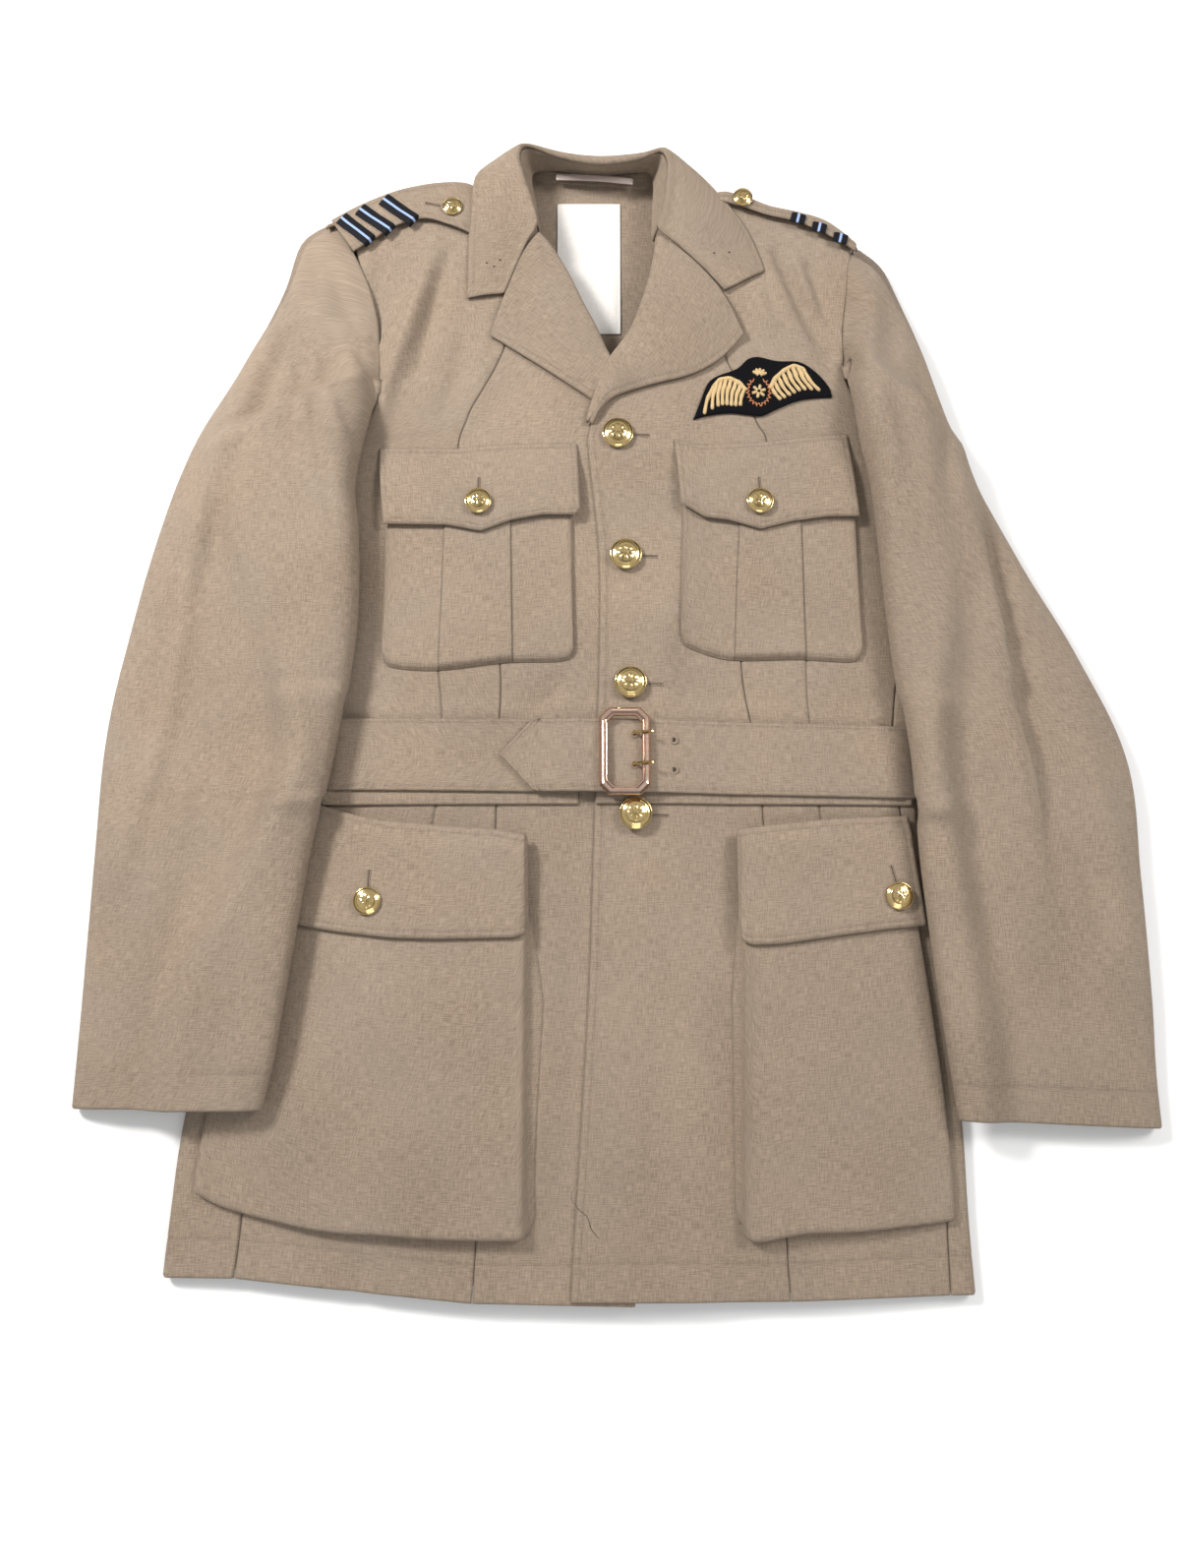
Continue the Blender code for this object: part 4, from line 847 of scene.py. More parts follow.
SLEEVE_RIGHT_CREASES = [
    (-5.5, 8, 6, [(-206, 402), (-195, 378), (-183, 354), (-174, 334)]),
    (-3.8, 5, 6, [(-217, 410), (-213, 390), (-211, 366)]),
    (4.0, 5, 7, [(-205, 396), (-200, 374), (-194, 350)]),
    (8, 8, 16, [(-236, 352), (-252, 300), (-268, 240), (-288, 178), (-296, 116)]),
    (-5.5, 7, 10, [(-222, 350), (-240, 292), (-258, 232), (-276, 172), (-288, 112)]),
    (-5.5, 9, 9, [(-216, 352), (-215, 302), (-211, 255), (-205, 222), (-198, 166)]),
    (-4, 4, 5, [(-194, 324), (-198, 287), (-198, 252), (-190, 218), (-182, 168)]),
    (4.3, 5, 6, [(-205, 330), (-207, 290), (-205, 252), (-198, 212)]),
    (-3.2, 5, 5, [(-181, 334), (-172, 320), (-166, 306)]),
    (6, 6, 14, [(-244, 290), (-267, 214), (-282, 166), (-292, 106), (-300, 37), (-316, -23), (-330, -80)]),
    (-4.4, 12, 8, [(-254, 300), (-280, 220), (-294, 160), (-304, 100), (-312, 36), (-326, -30)]),
    (3.2, 4, 7, [(-187, 274), (-183, 258), (-174, 240)]),
    (-3.2, 12, 12, [(-222, 120), (-232, 60), (-240, 0), (-252, -70)]),
    (2.8, 14, 14, [(-200, 110), (-208, 50), (-214, -20), (-222, -90)]),
    (-2.8, 9, 12, [(-262, 40), (-272, -30), (-282, -110), (-288, -190)]),
    (2.6, 14, 12, [(-300, -60), (-310, -130), (-318, -210)]),
    (-2.2, 10, 10, [(-240, -120), (-244, -170), (-250, -215)]),
]
SLEEVE_LEFT_CREASES = [
    (9.9, 4, 14, [(268, 232), (277, 194), (284, 159), (290, 124), (296, 81), (301, 28), (307, -14),
                  (312, -54), (315, -92), (311, -134)]),
    (-7.6, 10, 4, [(280, 250), (290, 190), (295, 150), (302, 110), (308, 60), (313, 10), (321, -40),
                   (326, -90)]),
    (-6.5, 9, 12, [(312, 70), (318, 30), (338, -28), (352, -80), (360, -120)]),
    (-3.6, 4, 4, [(188, 332), (192, 316), (198, 298)]),
    (4.8, 10, 12, [(226, 330), (238, 270), (244, 200), (250, 130)]),
    (-3.8, 9, 9, [(246, 320), (258, 262), (262, 200), (266, 140)]),
    (-3.5, 12, 12, [(252, 80), (262, 10), (268, -70), (276, -150)]),
    (3.2, 14, 14, [(284, 60), (286, -20), (290, -110), (296, -190)]),
    (3, 10, 10, [(340, 80), (352, 20), (366, -50), (370, -120)]),
    (-2.6, 10, 12, [(330, -120), (334, -170), (338, -220)]),
    (2.9, 6, 9, [(206, 280), (214, 250), (222, 214)]),
]
BACK_CREASES = [
    (1.6, 14, 18, [(-60, -300), (-50, -180), (-58, -70)]),
    (1.4, 16, 14, [(70, -310), (78, -190), (70, -80)]),
    (1.6, 12, 16, [(-120, 90), (-110, 180), (-130, 260)]),
    (1.4, 16, 14, [(130, 100), (122, 190), (140, 270)]),
]


# ---------------------------------------------------------------- body
FRONT_DART = {"side_right": 0.645, "side_left": 0.41}   # where the waist dart runs, as shares across


def dart_depth(y):
    """1 where the waist darts are sewn, 0 above and below."""
    return ease(-70, -40, y) * (1 - ease(95, 120, y))


def front_panel(table, outer, inner, height, dart=None):
    """The part of a front between two rails, numbered 0 (side) to 2 (front edge)."""
    rails = (table[:, 2 * outer:2 * outer + 2], table[:, 2 * inner:2 * inner + 2])
    ahead = 1 if rails[1][0][0] > rails[0][0][0] else -1

    def place(us, vs):
        u, row = grid(us, vs)
        along = u if ahead > 0 else 1 - u
        a, b = curved(rails[0], row), curved(rails[1], row)
        x = a[..., 0] + (b[..., 0] - a[..., 0]) * along
        y = a[..., 1] + (b[..., 1] - a[..., 1]) * along
        x = x + ahead * SEAM / 2 * (1 - 2 * along)
        y = y + (shoulder_seam(x) - y) * ease(0.88, 1, row)
        z = height(x, y)
        if dart is not None:
            sunk = np.exp(-((u - dart) * np.abs(b[..., 0] - a[..., 0]) / 0.9) ** 2)
            z = z - 0.9 * sunk * dart_depth(y)
        return stacked(x, y, z)

    return place


def fold_at(y, side):
    """The body's side fold at y: its x, the radius of its turn and the height of its underside."""
    left, right, _, thick = body_at(y)
    edge = right if side > 0 else left
    low = floor_lift(edge, y)
    return edge, (thick - low * 0.5) / 2, low


def side_body(table, side):
    """The side piece: from the front's side seam round the fold to the back, hem to armhole."""
    def place(us, vs):
        paths = []
        for v in vs:
            seam_x, y = curved(table[:, 0:2], v * 0.5)
            edge, radius, low = fold_at(y, side)
            start, turn_x = seam_x + side * SEAM / 2, edge - side * radius
            path = [(x, y, front_height(x, y)) for x in np.linspace(start, turn_x - side * 4, 4)]
            for degrees in (80, 50, 25, 0, -25, -50, -80):
                turned = math.radians(degrees)
                path.append((turn_x + side * radius * math.cos(turned), y,
                             low + radius * (1 + math.sin(turned))))
            path += [(turn_x - side * reach, y, low) for reach in (4, UNDER_TURN / 2, UNDER_TURN)]
            paths.append(path)
        return swept(paths, us if side > 0 else 1 - us)

    return place


def under_seam(y, side):
    """The back's side edge at y, beside the side piece."""
    edge, radius, _ = fold_at(y, side)
    return edge - side * (radius + UNDER_TURN + 0.6), y


def back_panel():
    """The whole back on the floor, rolling up at the shoulders to their seams and a little at the neck."""
    shares = np.linspace(0, 0.5, 13)
    left = [under_seam(curved(RIGHT_FRONT[:, 0:2], share)[1], -1) for share in shares]
    right = [under_seam(curved(LEFT_FRONT[:, 0:2], share)[1], 1) for share in shares]
    left += [(-236, 268), (-220, 310), (-208, 360), (-202, 400)]
    right += [(246, 268), (226, 305), (212, 345), (205, 382)]
    left.append((TOP_EDGE[0, 0], TOP_EDGE[0, 1] - TOP_EDGE[0, 2]))
    right.append((TOP_EDGE[-1, 0], TOP_EDGE[-1, 1] - TOP_EDGE[-1, 2]))
    left, right = np.array(left, float), np.array(right, float)
    flat_rows, roll_rows = len(left) - 1, 5

    def place(us, vs):
        u, v = grid(us, vs)
        row = v * (flat_rows + roll_rows)
        share = np.minimum(row / flat_rows, 1.0)
        ends = curved(left, share), curved(right, share)
        x = ends[1][..., 0] + (ends[0][..., 0] - ends[1][..., 0]) * u
        level = ends[1][..., 1] + (ends[0][..., 1] - ends[1][..., 1]) * u
        edge, radius, angle = top_edge_at(x)
        hem = np.interp(x, BACK_HEM[:, 0], BACK_HEM[:, 1]) - (left[0][1] + right[0][1]) / 2
        y = level + hem * (1 - ease(-345, -150, level))
        pulled = edge - radius - (left[-1][1] * u + right[-1][1] * (1 - u))
        y = np.where(share == 1, edge - radius, y + pulled * ease(100, 420, level))
        turned = np.radians(angle) * np.maximum(row - flat_rows, 0) / roll_rows
        rolled = row > flat_rows
        z = np.where(rolled, radius * (1 - np.cos(turned)), floor_lift(x, y))
        return stacked(x, y + np.where(rolled, radius * np.sin(turned), 0), z)

    return place


# ---------------------------------------------------------------- sleeves
INNER_RISE = 5.0        # the sleeves' inner folds stand this much further off the body


def sleeve(table, armhole, underarm, side):
    """A flattened tube open at the armhole and the cuff, draped over the body's side to the floor."""
    head = table[0, 0:4].reshape(2, 2)

    def place(us, vs):
        u, v = grid(us, vs)
        turn = 2 * math.pi * u * side + math.pi
        across = 0.5 + 0.5 * np.sign(np.cos(turn)) * np.abs(np.cos(turn)) ** 0.8
        up = np.sin(turn)
        start = v**1.1
        row = curved(table, start)
        opening = np.where((up > 0)[..., None], curved(armhole, across), curved(underarm, across))
        mouth = opening - straight(head, across)
        fade = np.maximum(0.0, 1 - start * 1.6) ** 1.5
        x = row[..., 0] + (row[..., 2] - row[..., 0]) * across + mouth[..., 0] * fade
        y = row[..., 1] + (row[..., 3] - row[..., 1]) * across + mouth[..., 1] * fade
        edge = row[..., 5] + (row[..., 6] - row[..., 5]) * across
        tip = (1 - ease(0, 0.32, across)) * (1 - ease(0.1, 0.6, start))
        bed = bed_height(x, y) * (1 - tip) + 0.4 * tip
        bed = bed + INNER_RISE * ease(0.55, 1, across) * ease(0.06, 0.3, start) * (1 - ease(0.85, 1, start))
        low = bed + edge / 2
        under = low - edge / 2 * np.abs(up) ** 0.5
        seam = ease(0, 0.26, start)
        height = low + (row[..., 4] - edge / 2) * np.abs(up) ** 0.7
        sewn = low + (front_height(x, y) + 0.9 - low) * np.abs(up) ** 0.4
        z = np.where(up < 0, under, sewn + (height - sewn) * seam)
        return stacked(x, y, z)

    return place


# ---------------------------------------------------------------- collar and lapels
def lapel(outline, height, side):
    """The turned-back part of a front: a leaf on the front, rolling round the front's edge."""
    radius = CLOTH * 1.5 + LAY + 0.4
    leaf = {
        "bottom": [outline["edge"][0], outline["roll"][0]], "top": outline["top"],
        "left": outline["edge"], "right": outline["roll"],
    }

    def place(us, vs):
        paths = []
        for v in vs:
            rolled = curved(outline["roll"], v)
            centre = height(*rolled) - CLOTH / 2
            turned = ease(*outline["turn"], rolled[1])
            grown = ease(-0.05, 0.1, v)
            path = []
            for share in (0, 0.12, 0.3, 0.5, 0.75):
                x, y = patch(
                    lambda t: straight(leaf["bottom"], t), lambda t: straight(leaf["top"], t),
                    lambda t: curved(leaf["left"], t), lambda t: curved(leaf["right"], t),
                    np.array(share), np.array(v))
                puff = 0.6 * (1 - share) + 2.2 * math.sin(math.pi * share)
                path.append((x, y, height(x, y) + (LAY + CLOTH + 0.4 + puff) * grown))
            for share in (0, 0.33, 0.67, 1):
                angle = math.radians(90 - share * (40 + 135 * turned))
                path.append((rolled[0] - side * radius * math.cos(angle), rolled[1],
                             centre + radius * math.sin(angle)))
            x, y, z = path[-1]
            lip = 1.2 + 9 * turned
            path.append((x - side * lip * math.sin(angle), y, z - lip * math.cos(angle)))
            paths.append(path)
        return swept(paths, us if side < 0 else 1 - us)

    return place


def collar_section(share):
    """Neck seam, middle of the fold's turn, the way out from it and the free edge round the neck."""
    row = curved(COLLAR, share)
    seam, fold, edge, turned = row[0:3], row[3:6], row[6:9], row[9]
    out = np.array([edge[0] - fold[0], edge[1] - fold[1], 0.0])
    out /= np.linalg.norm(out)
    return seam, fold - (0, 0, COLLAR_TURN), out, edge, min(max(turned, 0.0), 1.0)


def collar_fall(us, vs):
    """The collar's fall with its roll at the top, from one front end round the neck to the other."""
    up = np.array([0.0, 0.0, 1.0])
    columns = []
    for share in us:
        _, centre, out, edge, turned = collar_section(share)
        first = centre + COLLAR_TURN * (out * math.cos(0.6) + up * math.sin(0.6))
        path = []
        for part in (0, 0.15, 0.33, 0.5, 0.67, 0.85):
            x, y, z = edge + (first - edge) * part
            rest = shell_top(x, y) + LAY + CLOTH + 0.6
            path.append((x, y, max(z, rest) + 1.2 * math.sin(math.pi * part)))
        for part in (0, 0.33, 0.67, 1):
            angle = 0.6 + part * (0.75 + 1.9 * turned)
            path.append(tuple(centre + COLLAR_TURN * (out * math.cos(angle) + up * math.sin(angle))))
        columns.append(curved(path, 1 - vs))
    return np.stack(columns, axis=1)


def collar_stand(us, vs):
    """The band inside the collar, from under its roll down to the neck seam."""
    columns = []
    for share in us:
        seam, centre, out, _, _ = collar_section(0.17 + 0.66 * share)
        top = centre - out * COLLAR_TURN
        top = top + (seam - top) * 0.03
        columns.append(seam + (top - seam) * vs[:, None])
    return np.stack(columns, axis=1)


# ---------------------------------------------------------------- straps and braid
def strap_height(x, y):
    """The upper face of a shoulder strap: stiff, so it stands over the shoulder's roll."""
    edge, radius, _ = top_edge_at(x)
    flat = np.minimum(y, edge - radius)
    base = np.where(x > 20, overlap_height(x, flat), front_height(x, flat))
    return base + CLOTH + LAY + 2.6


def shoulder_strap(table):
    def place(us, vs):
        u, v = grid(us, vs)
        row = curved(table, u if table[0, 0] < table[-1, 0] else 1 - u)
        x = row[..., 0] + (row[..., 2] - row[..., 0]) * v
        y = row[..., 1] + (row[..., 3] - row[..., 1]) * v
        tucked = 5.0 * (1 - ease(-1, 13, np.abs(x - CENTRE[0]) - np.abs(table[0, 0] - CENTRE[0])))
        return stacked(x, y, strap_height(x, y) + 0.5 * np.sin(math.pi * v) - tucked)

    return place


def braid(ends):
    """One bar of rank braid across a shoulder strap, bent down over the strap's two edges."""
    top, bottom = np.array(ends[0], float), np.array(ends[1], float)
    length = np.linalg.norm(top - bottom)
    across = (top - bottom) / length
    aside = np.array([across[1], -across[0]]) * BRAID_WIDTH / 2

    def place(us, vs):
        u, v = grid(us, vs)
        v = v * 1.06 - 0.03
        x = bottom[0] + (top - bottom)[0] * v + aside[0] * (2 * u - 1)
        y = bottom[1] + (top - bottom)[1] * v + aside[1] * (2 * u - 1)
        past = np.maximum(np.abs(v - 0.5) - 0.47, 0) * length
        return stacked(x, y, strap_height(x, y) + 1.9 - past * 1.4 + 0.35 * np.sin(math.pi * u))

    return place


# ---------------------------------------------------------------- pockets
def base_height(x, y):
    """The front a pocket or a badge lies on, with the overlap of the wearer's left front."""
    return np.where(x > 50, overlap_height(x, y), front_height(x, y))


PLEAT = (0.325, 0.668)      # the two folded edges of the box pleat, as shares across the pocket


def laid(edges, height, turn=straight):
    """A patch given by its four edges, its upper face at height(x, y, u, v)."""
    def place(us, vs):
        u, v = grid(us, vs)
        x, y = np.moveaxis(within(edges, u, v, turn), -1, 0)
        return stacked(x, y, height(x, y, u, v))

    return place


def chest_pocket_height(x, y, u, v):
    """A patch pocket with a box pleat down its middle."""
    inside = ease(0, 0.04, v) * ease(0, 0.03, u) * (1 - ease(0.97, 1, u))
    pleat = PLEAT_STEP * ease(PLEAT[0] - 0.005, PLEAT[0] + 0.005, u)
    pleat = pleat * (1 - ease(PLEAT[1] - 0.005, PLEAT[1] + 0.005, u))
    return base_height(x, y) + LAY + CLOTH + (CHEST_PUFF + pleat) * inside


def chest_flap_height(x, y, u, v):
    """A flap sewn along its top edge and lying over its pocket below."""
    full = CHEST_PUFF + PLEAT_STEP + CLOTH + LAY + 0.4
    lift = full * (1 - ease(0.45, 1, v)) + 0.9 * (1 - ease(0, 0.5, v))
    return base_height(x, y) + LAY + CLOTH + lift


GUSSET_ROWS = (0.0, 0.05, 0.3, 0.72, 1.0)     # shares up a lower pocket where its gusset is measured


def lower_pocket(edges, gusset):
    """A bellows pocket: its face stands off the front and a gusset folds out from beside it; gusset is how
    far it shows beyond the left and the right edge at each of GUSSET_ROWS."""
    band = 0.05

    def place(us, vs):
        u, v = grid(us, vs)
        share = np.clip((u - band) / (1 - 2 * band), 0, 1)
        x, y = np.moveaxis(within(edges, share, v, curved), -1, 0)
        beyond = np.maximum(band - u, u - 1 + band).clip(0) / band
        reach = np.where(u < 0.5, -np.interp(v, GUSSET_ROWS, gusset["left"]),
                         np.interp(v, GUSSET_ROWS, gusset["right"]))
        drop = 1 - (1 - beyond) ** 2.2
        inside = ease(0, 0.012, v) * (1 - drop)
        lift = pocket_lift(x, y) * inside
        x = x + reach * beyond ** 1.4
        return stacked(x, y, base_height(x, y) + LAY + CLOTH + lift)

    return place


def lower_flap_height(x, y, u, v):
    """A flap over its bellows pocket, its lower edge a little raised."""
    high = base_height(x, y) + pocket_lift(x, y) + 2 * (LAY + CLOTH) + 0.4
    return high + 1.2 * (1 - ease(0, 0.55, v)) - 2.0 * ease(0.8, 1, v)


# ---------------------------------------------------------------- waist
def waist_height(x, y):
    """The upper face of the fronts at the waist, where the wearer's left one lies on the other."""
    return front_height(x, y) + (CLOTH + LAY) * ease(-26, -6, x) * (1 - ease(58, 105, x))


def waist_band(ends, height):
    """The band of cloth sewn round the waist under the belt."""
    def place(us, vs):
        u, v = grid(us, vs)
        x = ends[0] + (ends[1] - ends[0]) * u
        y = BAND[0] + (BAND[1] - BAND[0]) * v
        return stacked(x, y, height(x, y) + LAY + CLOTH)

    return place


def belt_height(x, y, upper):
    """The upper face of the belt, of its lower ply or of the pointed end over it."""
    band = ease(BAND_RIGHT[0] - 13, BAND_RIGHT[0] - 1, x) * (1 - ease(BAND_LEFT[1], BAND_LEFT[1] + 12, x))
    lower = waist_height(x, y) + (LAY + CLOTH) * band + LAY + BELT_WALL
    tip = 1.6 * (1 - ease(BELT_TIP[0], BELT_TIP[0] + 40, x))
    return lower + upper * ((LAY + BELT_WALL) * (1 - ease(38, 72, x)) + tip)


def belt(us, vs):
    """One strap: pointed end, buckle, right run, round the back, left run to the buckle."""
    top_right = (-64, -55, -46, -34, -12, 10, 34, 44, 58, 72, 110, 160, 209, 219)
    top_left = (-181, -169, -120, -80, -40, -24, -6, BELT_FIXED_END)
    turns = (80, 50, 20, -10, -40, -65, -90)
    paths = []
    for v in vs:
        path = []
        for x in top_right:
            y = belt_middle(x) + (v - 0.5) * BELT_WIDTH
            z = belt_height(x, y, 1)
            if x < -30:
                share = (x - BELT_TIP[0]) / (-34 - BELT_TIP[0])
                x += BELT_TIP[1] * abs(2 * v - 1) * (1 - share)
            path.append((x, y, z))
        for side in (1, -1):
            y = belt_middle(fold_at(BELT_Y, side)[0]) + (v - 0.5) * BELT_WIDTH
            edge, radius, low = fold_at(y, side)
            wide = radius + LAY + BELT_WALL
            for degrees in turns if side > 0 else reversed(turns):
                turned = math.radians(degrees)
                path.append((edge - side * (radius - wide * math.cos(turned)), y,
                             low + radius + wide * math.sin(turned)))
            if side > 0:
                for x in (140, CENTRE[0], -110):
                    path.append((x, belt_middle(x) + (v - 0.5) * BELT_WIDTH, low - LAY - BELT_WALL))
        for x in top_left:
            y = belt_middle(x) + (v - 0.5) * BELT_WIDTH
            path.append((x, y, belt_height(x, y, 0)))
        paths.append(path)
    return swept(paths, us)


# ---------------------------------------------------------------- neck and chest trim
def badge_height(x, y, u, v):
    """The badge's felt lies on the front."""
    return base_height(x, y) + LAY + BADGE_WALL


def label_height(x, y, u, v):
    """The label lies on the inside of the back."""
    return CLOTH + 1.3


def hanger_loop(us, vs):
    """A satin strap across the back of the neck, its middle free."""
    u, v = grid(us, vs)
    x = -27 + 61 * u
    y = 482 - 4 * u + 5.5 * v - 1.5 * np.sin(math.pi * u)
    return stacked(x, y + 2.5, 9.0 + 3.5 * np.sin(math.pi * u) + 0.3 * np.sin(math.pi * v))


def make_body():
    back_hem, hem = HEM_STITCH + 1, (0, 0, HEM_STITCH, 0)
    sew("back", back_panel(), 6, [(2, back_hem)], rests_on="floor", insets=(0, 0, back_hem, 0),
        creases=BACK_CREASES, uneven=0.25, probe=0.12)
    for node, table, side, shown in (
            ("right", RIGHT_FRONT, -1, (0.45, 1.0)), ("left", LEFT_FRONT, 1, (0.0, 0.55))):
        sew("side_body_" + node, side_body(table, side), 4, [(2, HEM_STITCH, *shown)], rests_on="back",
            insets=hem, creases=BODY_CREASES, uneven=0.3)
    for node, table, outer, inner, height, dart, insets in (
            ("side_right", RIGHT_FRONT, 0, 1, front_height, FRONT_DART["side_right"], hem),
            ("right", RIGHT_FRONT, 1, 2, front_height, None, (0, EDGE_STITCH, HEM_STITCH, 0)),
            ("side_left", LEFT_FRONT, 0, 1, overlap_height, FRONT_DART["side_left"], hem),
            ("left", LEFT_FRONT, 1, 2, overlap_height, None, (EDGE_STITCH, 0, HEM_STITCH, 0))):
        outermost = node == "left"
        stitches = [(2, HEM_STITCH)] + [(0, EDGE_STITCH, 0.0, 0.66)] * outermost
        sew("front_" + node, front_panel(table, outer, inner, height, dart), 3.4, stitches,
            rests_on="front_right" if outermost else "back", insets=insets, creases=BODY_CREASES,
            marks=((dart,) if dart else (), ()), marked=dart_depth)
    for node, table, armhole, underarm, side, creases in (
            ("right", RIGHT_SLEEVE, RIGHT_ARMHOLE, RIGHT_UNDERARM, 1, SLEEVE_RIGHT_CREASES),
            ("left", LEFT_SLEEVE, LEFT_ARMHOLE, LEFT_UNDERARM, -1, SLEEVE_LEFT_CREASES)):
        sew("sleeve_" + node, sleeve(table, armhole, underarm, side), 3.4, [(3, HEM_STITCH)],
            rests_on="side_body_" + node, insets=(0, 0, 0, HEM_STITCH), closed=True, creases=creases,
            uneven=0.4, datum=(0, 1))


def make_collar():
    for node, outline, height, side in (
            ("right", RIGHT_LAPEL, front_height, -1), ("left", LEFT_LAPEL, overlap_height, 1)):
        edge = 0 if side < 0 else 1
        sew("lapel_" + node, lapel(outline, height, side), 2.6, [(edge, EDGE_STITCH)],
            insets=[EDGE_STITCH * (k == edge) for k in range(4)], uneven=0.3)
    sew("collar_fall", collar_fall, 3.0, rests_on="back", insets=(0, 0, 0, EDGE_STITCH), uneven=0.3)
    sew("collar_stand", collar_stand, 3.0, rests_on="back", uneven=0.15)


def make_straps():
    for node, table in (("right", RIGHT_STRAP), ("left", LEFT_STRAP)):
        sew("shoulder_strap_" + node, shoulder_strap(table), 1.6, [(2, POCKET_STITCH), (3, POCKET_STITCH)],
            insets=(POCKET_STITCH,) * 4, uneven=0.15)
    for node, bars in (("right", BRAIDS_RIGHT), ("left", BRAIDS_LEFT)):
        for number, ends in enumerate(bars, 1):
            sew(f"braid_{node}_{number}", braid(ends), 0.9, finish=(BRAID, "braid"), wall=BRAID_WALL,
                rests_on="shoulder_strap_" + node, uneven=0.05, drop=0.4)


def edges_in(inset, count):
    """Stitches along the first edges of a patch, each stopping short of the corners."""
    return [(edge, inset, 0.0, 1.0, inset) for edge in range(count)]


def make_pockets():
    for node, bag, flap in (
            ("right", CHEST_POCKET_RIGHT, CHEST_FLAP_RIGHT), ("left", CHEST_POCKET_LEFT, CHEST_FLAP_LEFT)):
        sew("chest_pocket_" + node, laid(bag, chest_pocket_height, curved), 2.2, edges_in(POCKET_STITCH, 3),
            insets=(POCKET_STITCH,) * 3 + (0,), marks=(PLEAT, ()), uneven=0.3, drop=1.9, soft=1.6)
        sew("chest_flap_" + node, laid(flap, chest_flap_height), 2.2, edges_in(POCKET_STITCH, 4),
            rests_on="chest_pocket_" + node, insets=(POCKET_STITCH,) * 4, uneven=0.3, drop=1.2, soft=1.2)
    slim = (0.5, 1.5, 2, 2, 1)
    for node, bag, flap, gusset in (
            ("right", LOWER_POCKET_RIGHT, LOWER_FLAP_RIGHT, {"left": slim, "right": (0.8, 3.5, 7, 11, 5)}),
            ("left", LOWER_POCKET_LEFT, LOWER_FLAP_LEFT, {"left": (0.8, 4, 6, 8, 4), "right": slim})):
        sew("lower_pocket_" + node, lower_pocket(bag, gusset), 3.0, [(2, BELT_STITCH, 0.0, 1.0, BELT_STITCH)],
            insets=(0, 0, BELT_STITCH, 0), uneven=0.4, drop=1.7, soft=1.4)
        sew("lower_flap_" + node, laid(flap, lower_flap_height), 2.6, edges_in(EDGE_STITCH, 4),
            rests_on="lower_pocket_" + node, insets=(EDGE_STITCH,) * 4, uneven=0.3, drop=1.2, soft=1.2)


def make_waist():
    for node, ends, height in (("right", BAND_RIGHT, front_height), ("left", BAND_LEFT, overlap_height)):
        sew("waist_band_" + node, waist_band(ends, height), 3.4, [(2, BELT_STITCH)],
            insets=(0, 0, BELT_STITCH, 0), uneven=0.2)
    stitches = [(0, BELT_STITCH, 0.0, 1.0, BELT_STITCH), (2, BELT_STITCH), (3, BELT_STITCH)]
    sew("belt", belt, 3.2, stitches, wall=BELT_WALL, rests_on="waist_band_right",
        insets=(BELT_STITCH, 0, BELT_STITCH, BELT_STITCH), uneven=0.15, datum=(0.5, 0))


def make_trim():
    sew("badge", laid(BADGE, badge_height, curved), 1.6, finish=(FELT, "badge_felt"), wall=BADGE_WALL,
        uneven=0.3, drop=0.7)
    sew("label", laid(LABEL, label_height), 2.4, finish=(TAPE, "label_cloth"), wall=LABEL_WALL,
        rests_on="back", insets=(2, 2, 2, 2), uneven=0.25, drop=0.3)
    route = curved(YOKE_SEAM, np.linspace(0, 1, 60))
    raised, facing = zip(*(PIECES["back"].top(x, y) for x, y in route))
    STITCHES.append((np.array(raised) + (0, 0, 0.2), np.array(facing)))
    sew("hanger_loop", hanger_loop, 0.8, finish=(SATIN, "satin"), wall=LOOP_WALL, rests_on="back",
        uneven=0.0, drop=0.3)


# ---------------------------------------------------------------- sewing
STITCH_PITCH = 2.9
STITCH = (2.2, 0.55, 0.3)       # length, width and rise of one stitch


def joined(parts):
    """Several parts of one mesh as one: points and faces."""
    verts, faces, count = [], [], 0
    for made, sides in parts:
        verts.append(made)
        faces.append(np.asarray(sides) + count)
        count += len(made)
    return np.concatenate(verts), np.concatenate(faces).tolist()


def resampled(points, out, pitch):
    """Points `pitch` apart along a run, each with the direction of the run and the outward one."""
    run = run_of(points)
    at = np.arange(pitch / 2, run[-1], pitch)
    even, facing = sampled(at, run, points), sampled(at, run, out)
    way = sampled(at + 0.5, run, points) - sampled(at - 0.5, run, points)
    way /= np.maximum(np.linalg.norm(way, axis=1, keepdims=True), 1e-9)
    facing /= np.linalg.norm(facing, axis=1, keepdims=True)
    return even, way, facing


def grains(middles, ways, facings, length, width, height):
    """Eight-sided grains of thread lying along their ways: points and faces."""
    aside = np.cross(facings, ways)
    corners = [middles - ways * length / 2, middles + ways * length / 2,
               middles + aside * width / 2, middles - aside * width / 2,
               middles + facings * height, middles - facings * 0.3]
    verts = np.stack(corners, axis=1).reshape(-1, 3)
    one = np.array([(0, 3, 4), (3, 1, 4), (1, 2, 4), (2, 0, 4), (3, 0, 5), (1, 3, 5), (2, 1, 5), (0, 2, 5)])
    faces = (one[None] + 6 * np.arange(len(middles))[:, None, None]).reshape(-1, 3)
    return verts, faces


def make_stitches():
    """All the topstitching of the jacket as one mesh of short stitches."""
    runs = [grains(*resampled(points, out, STITCH_PITCH), *STITCH) for points, out in STITCHES]
    add_mesh("topstitching", *joined(runs), THREAD, "stone_cloth")


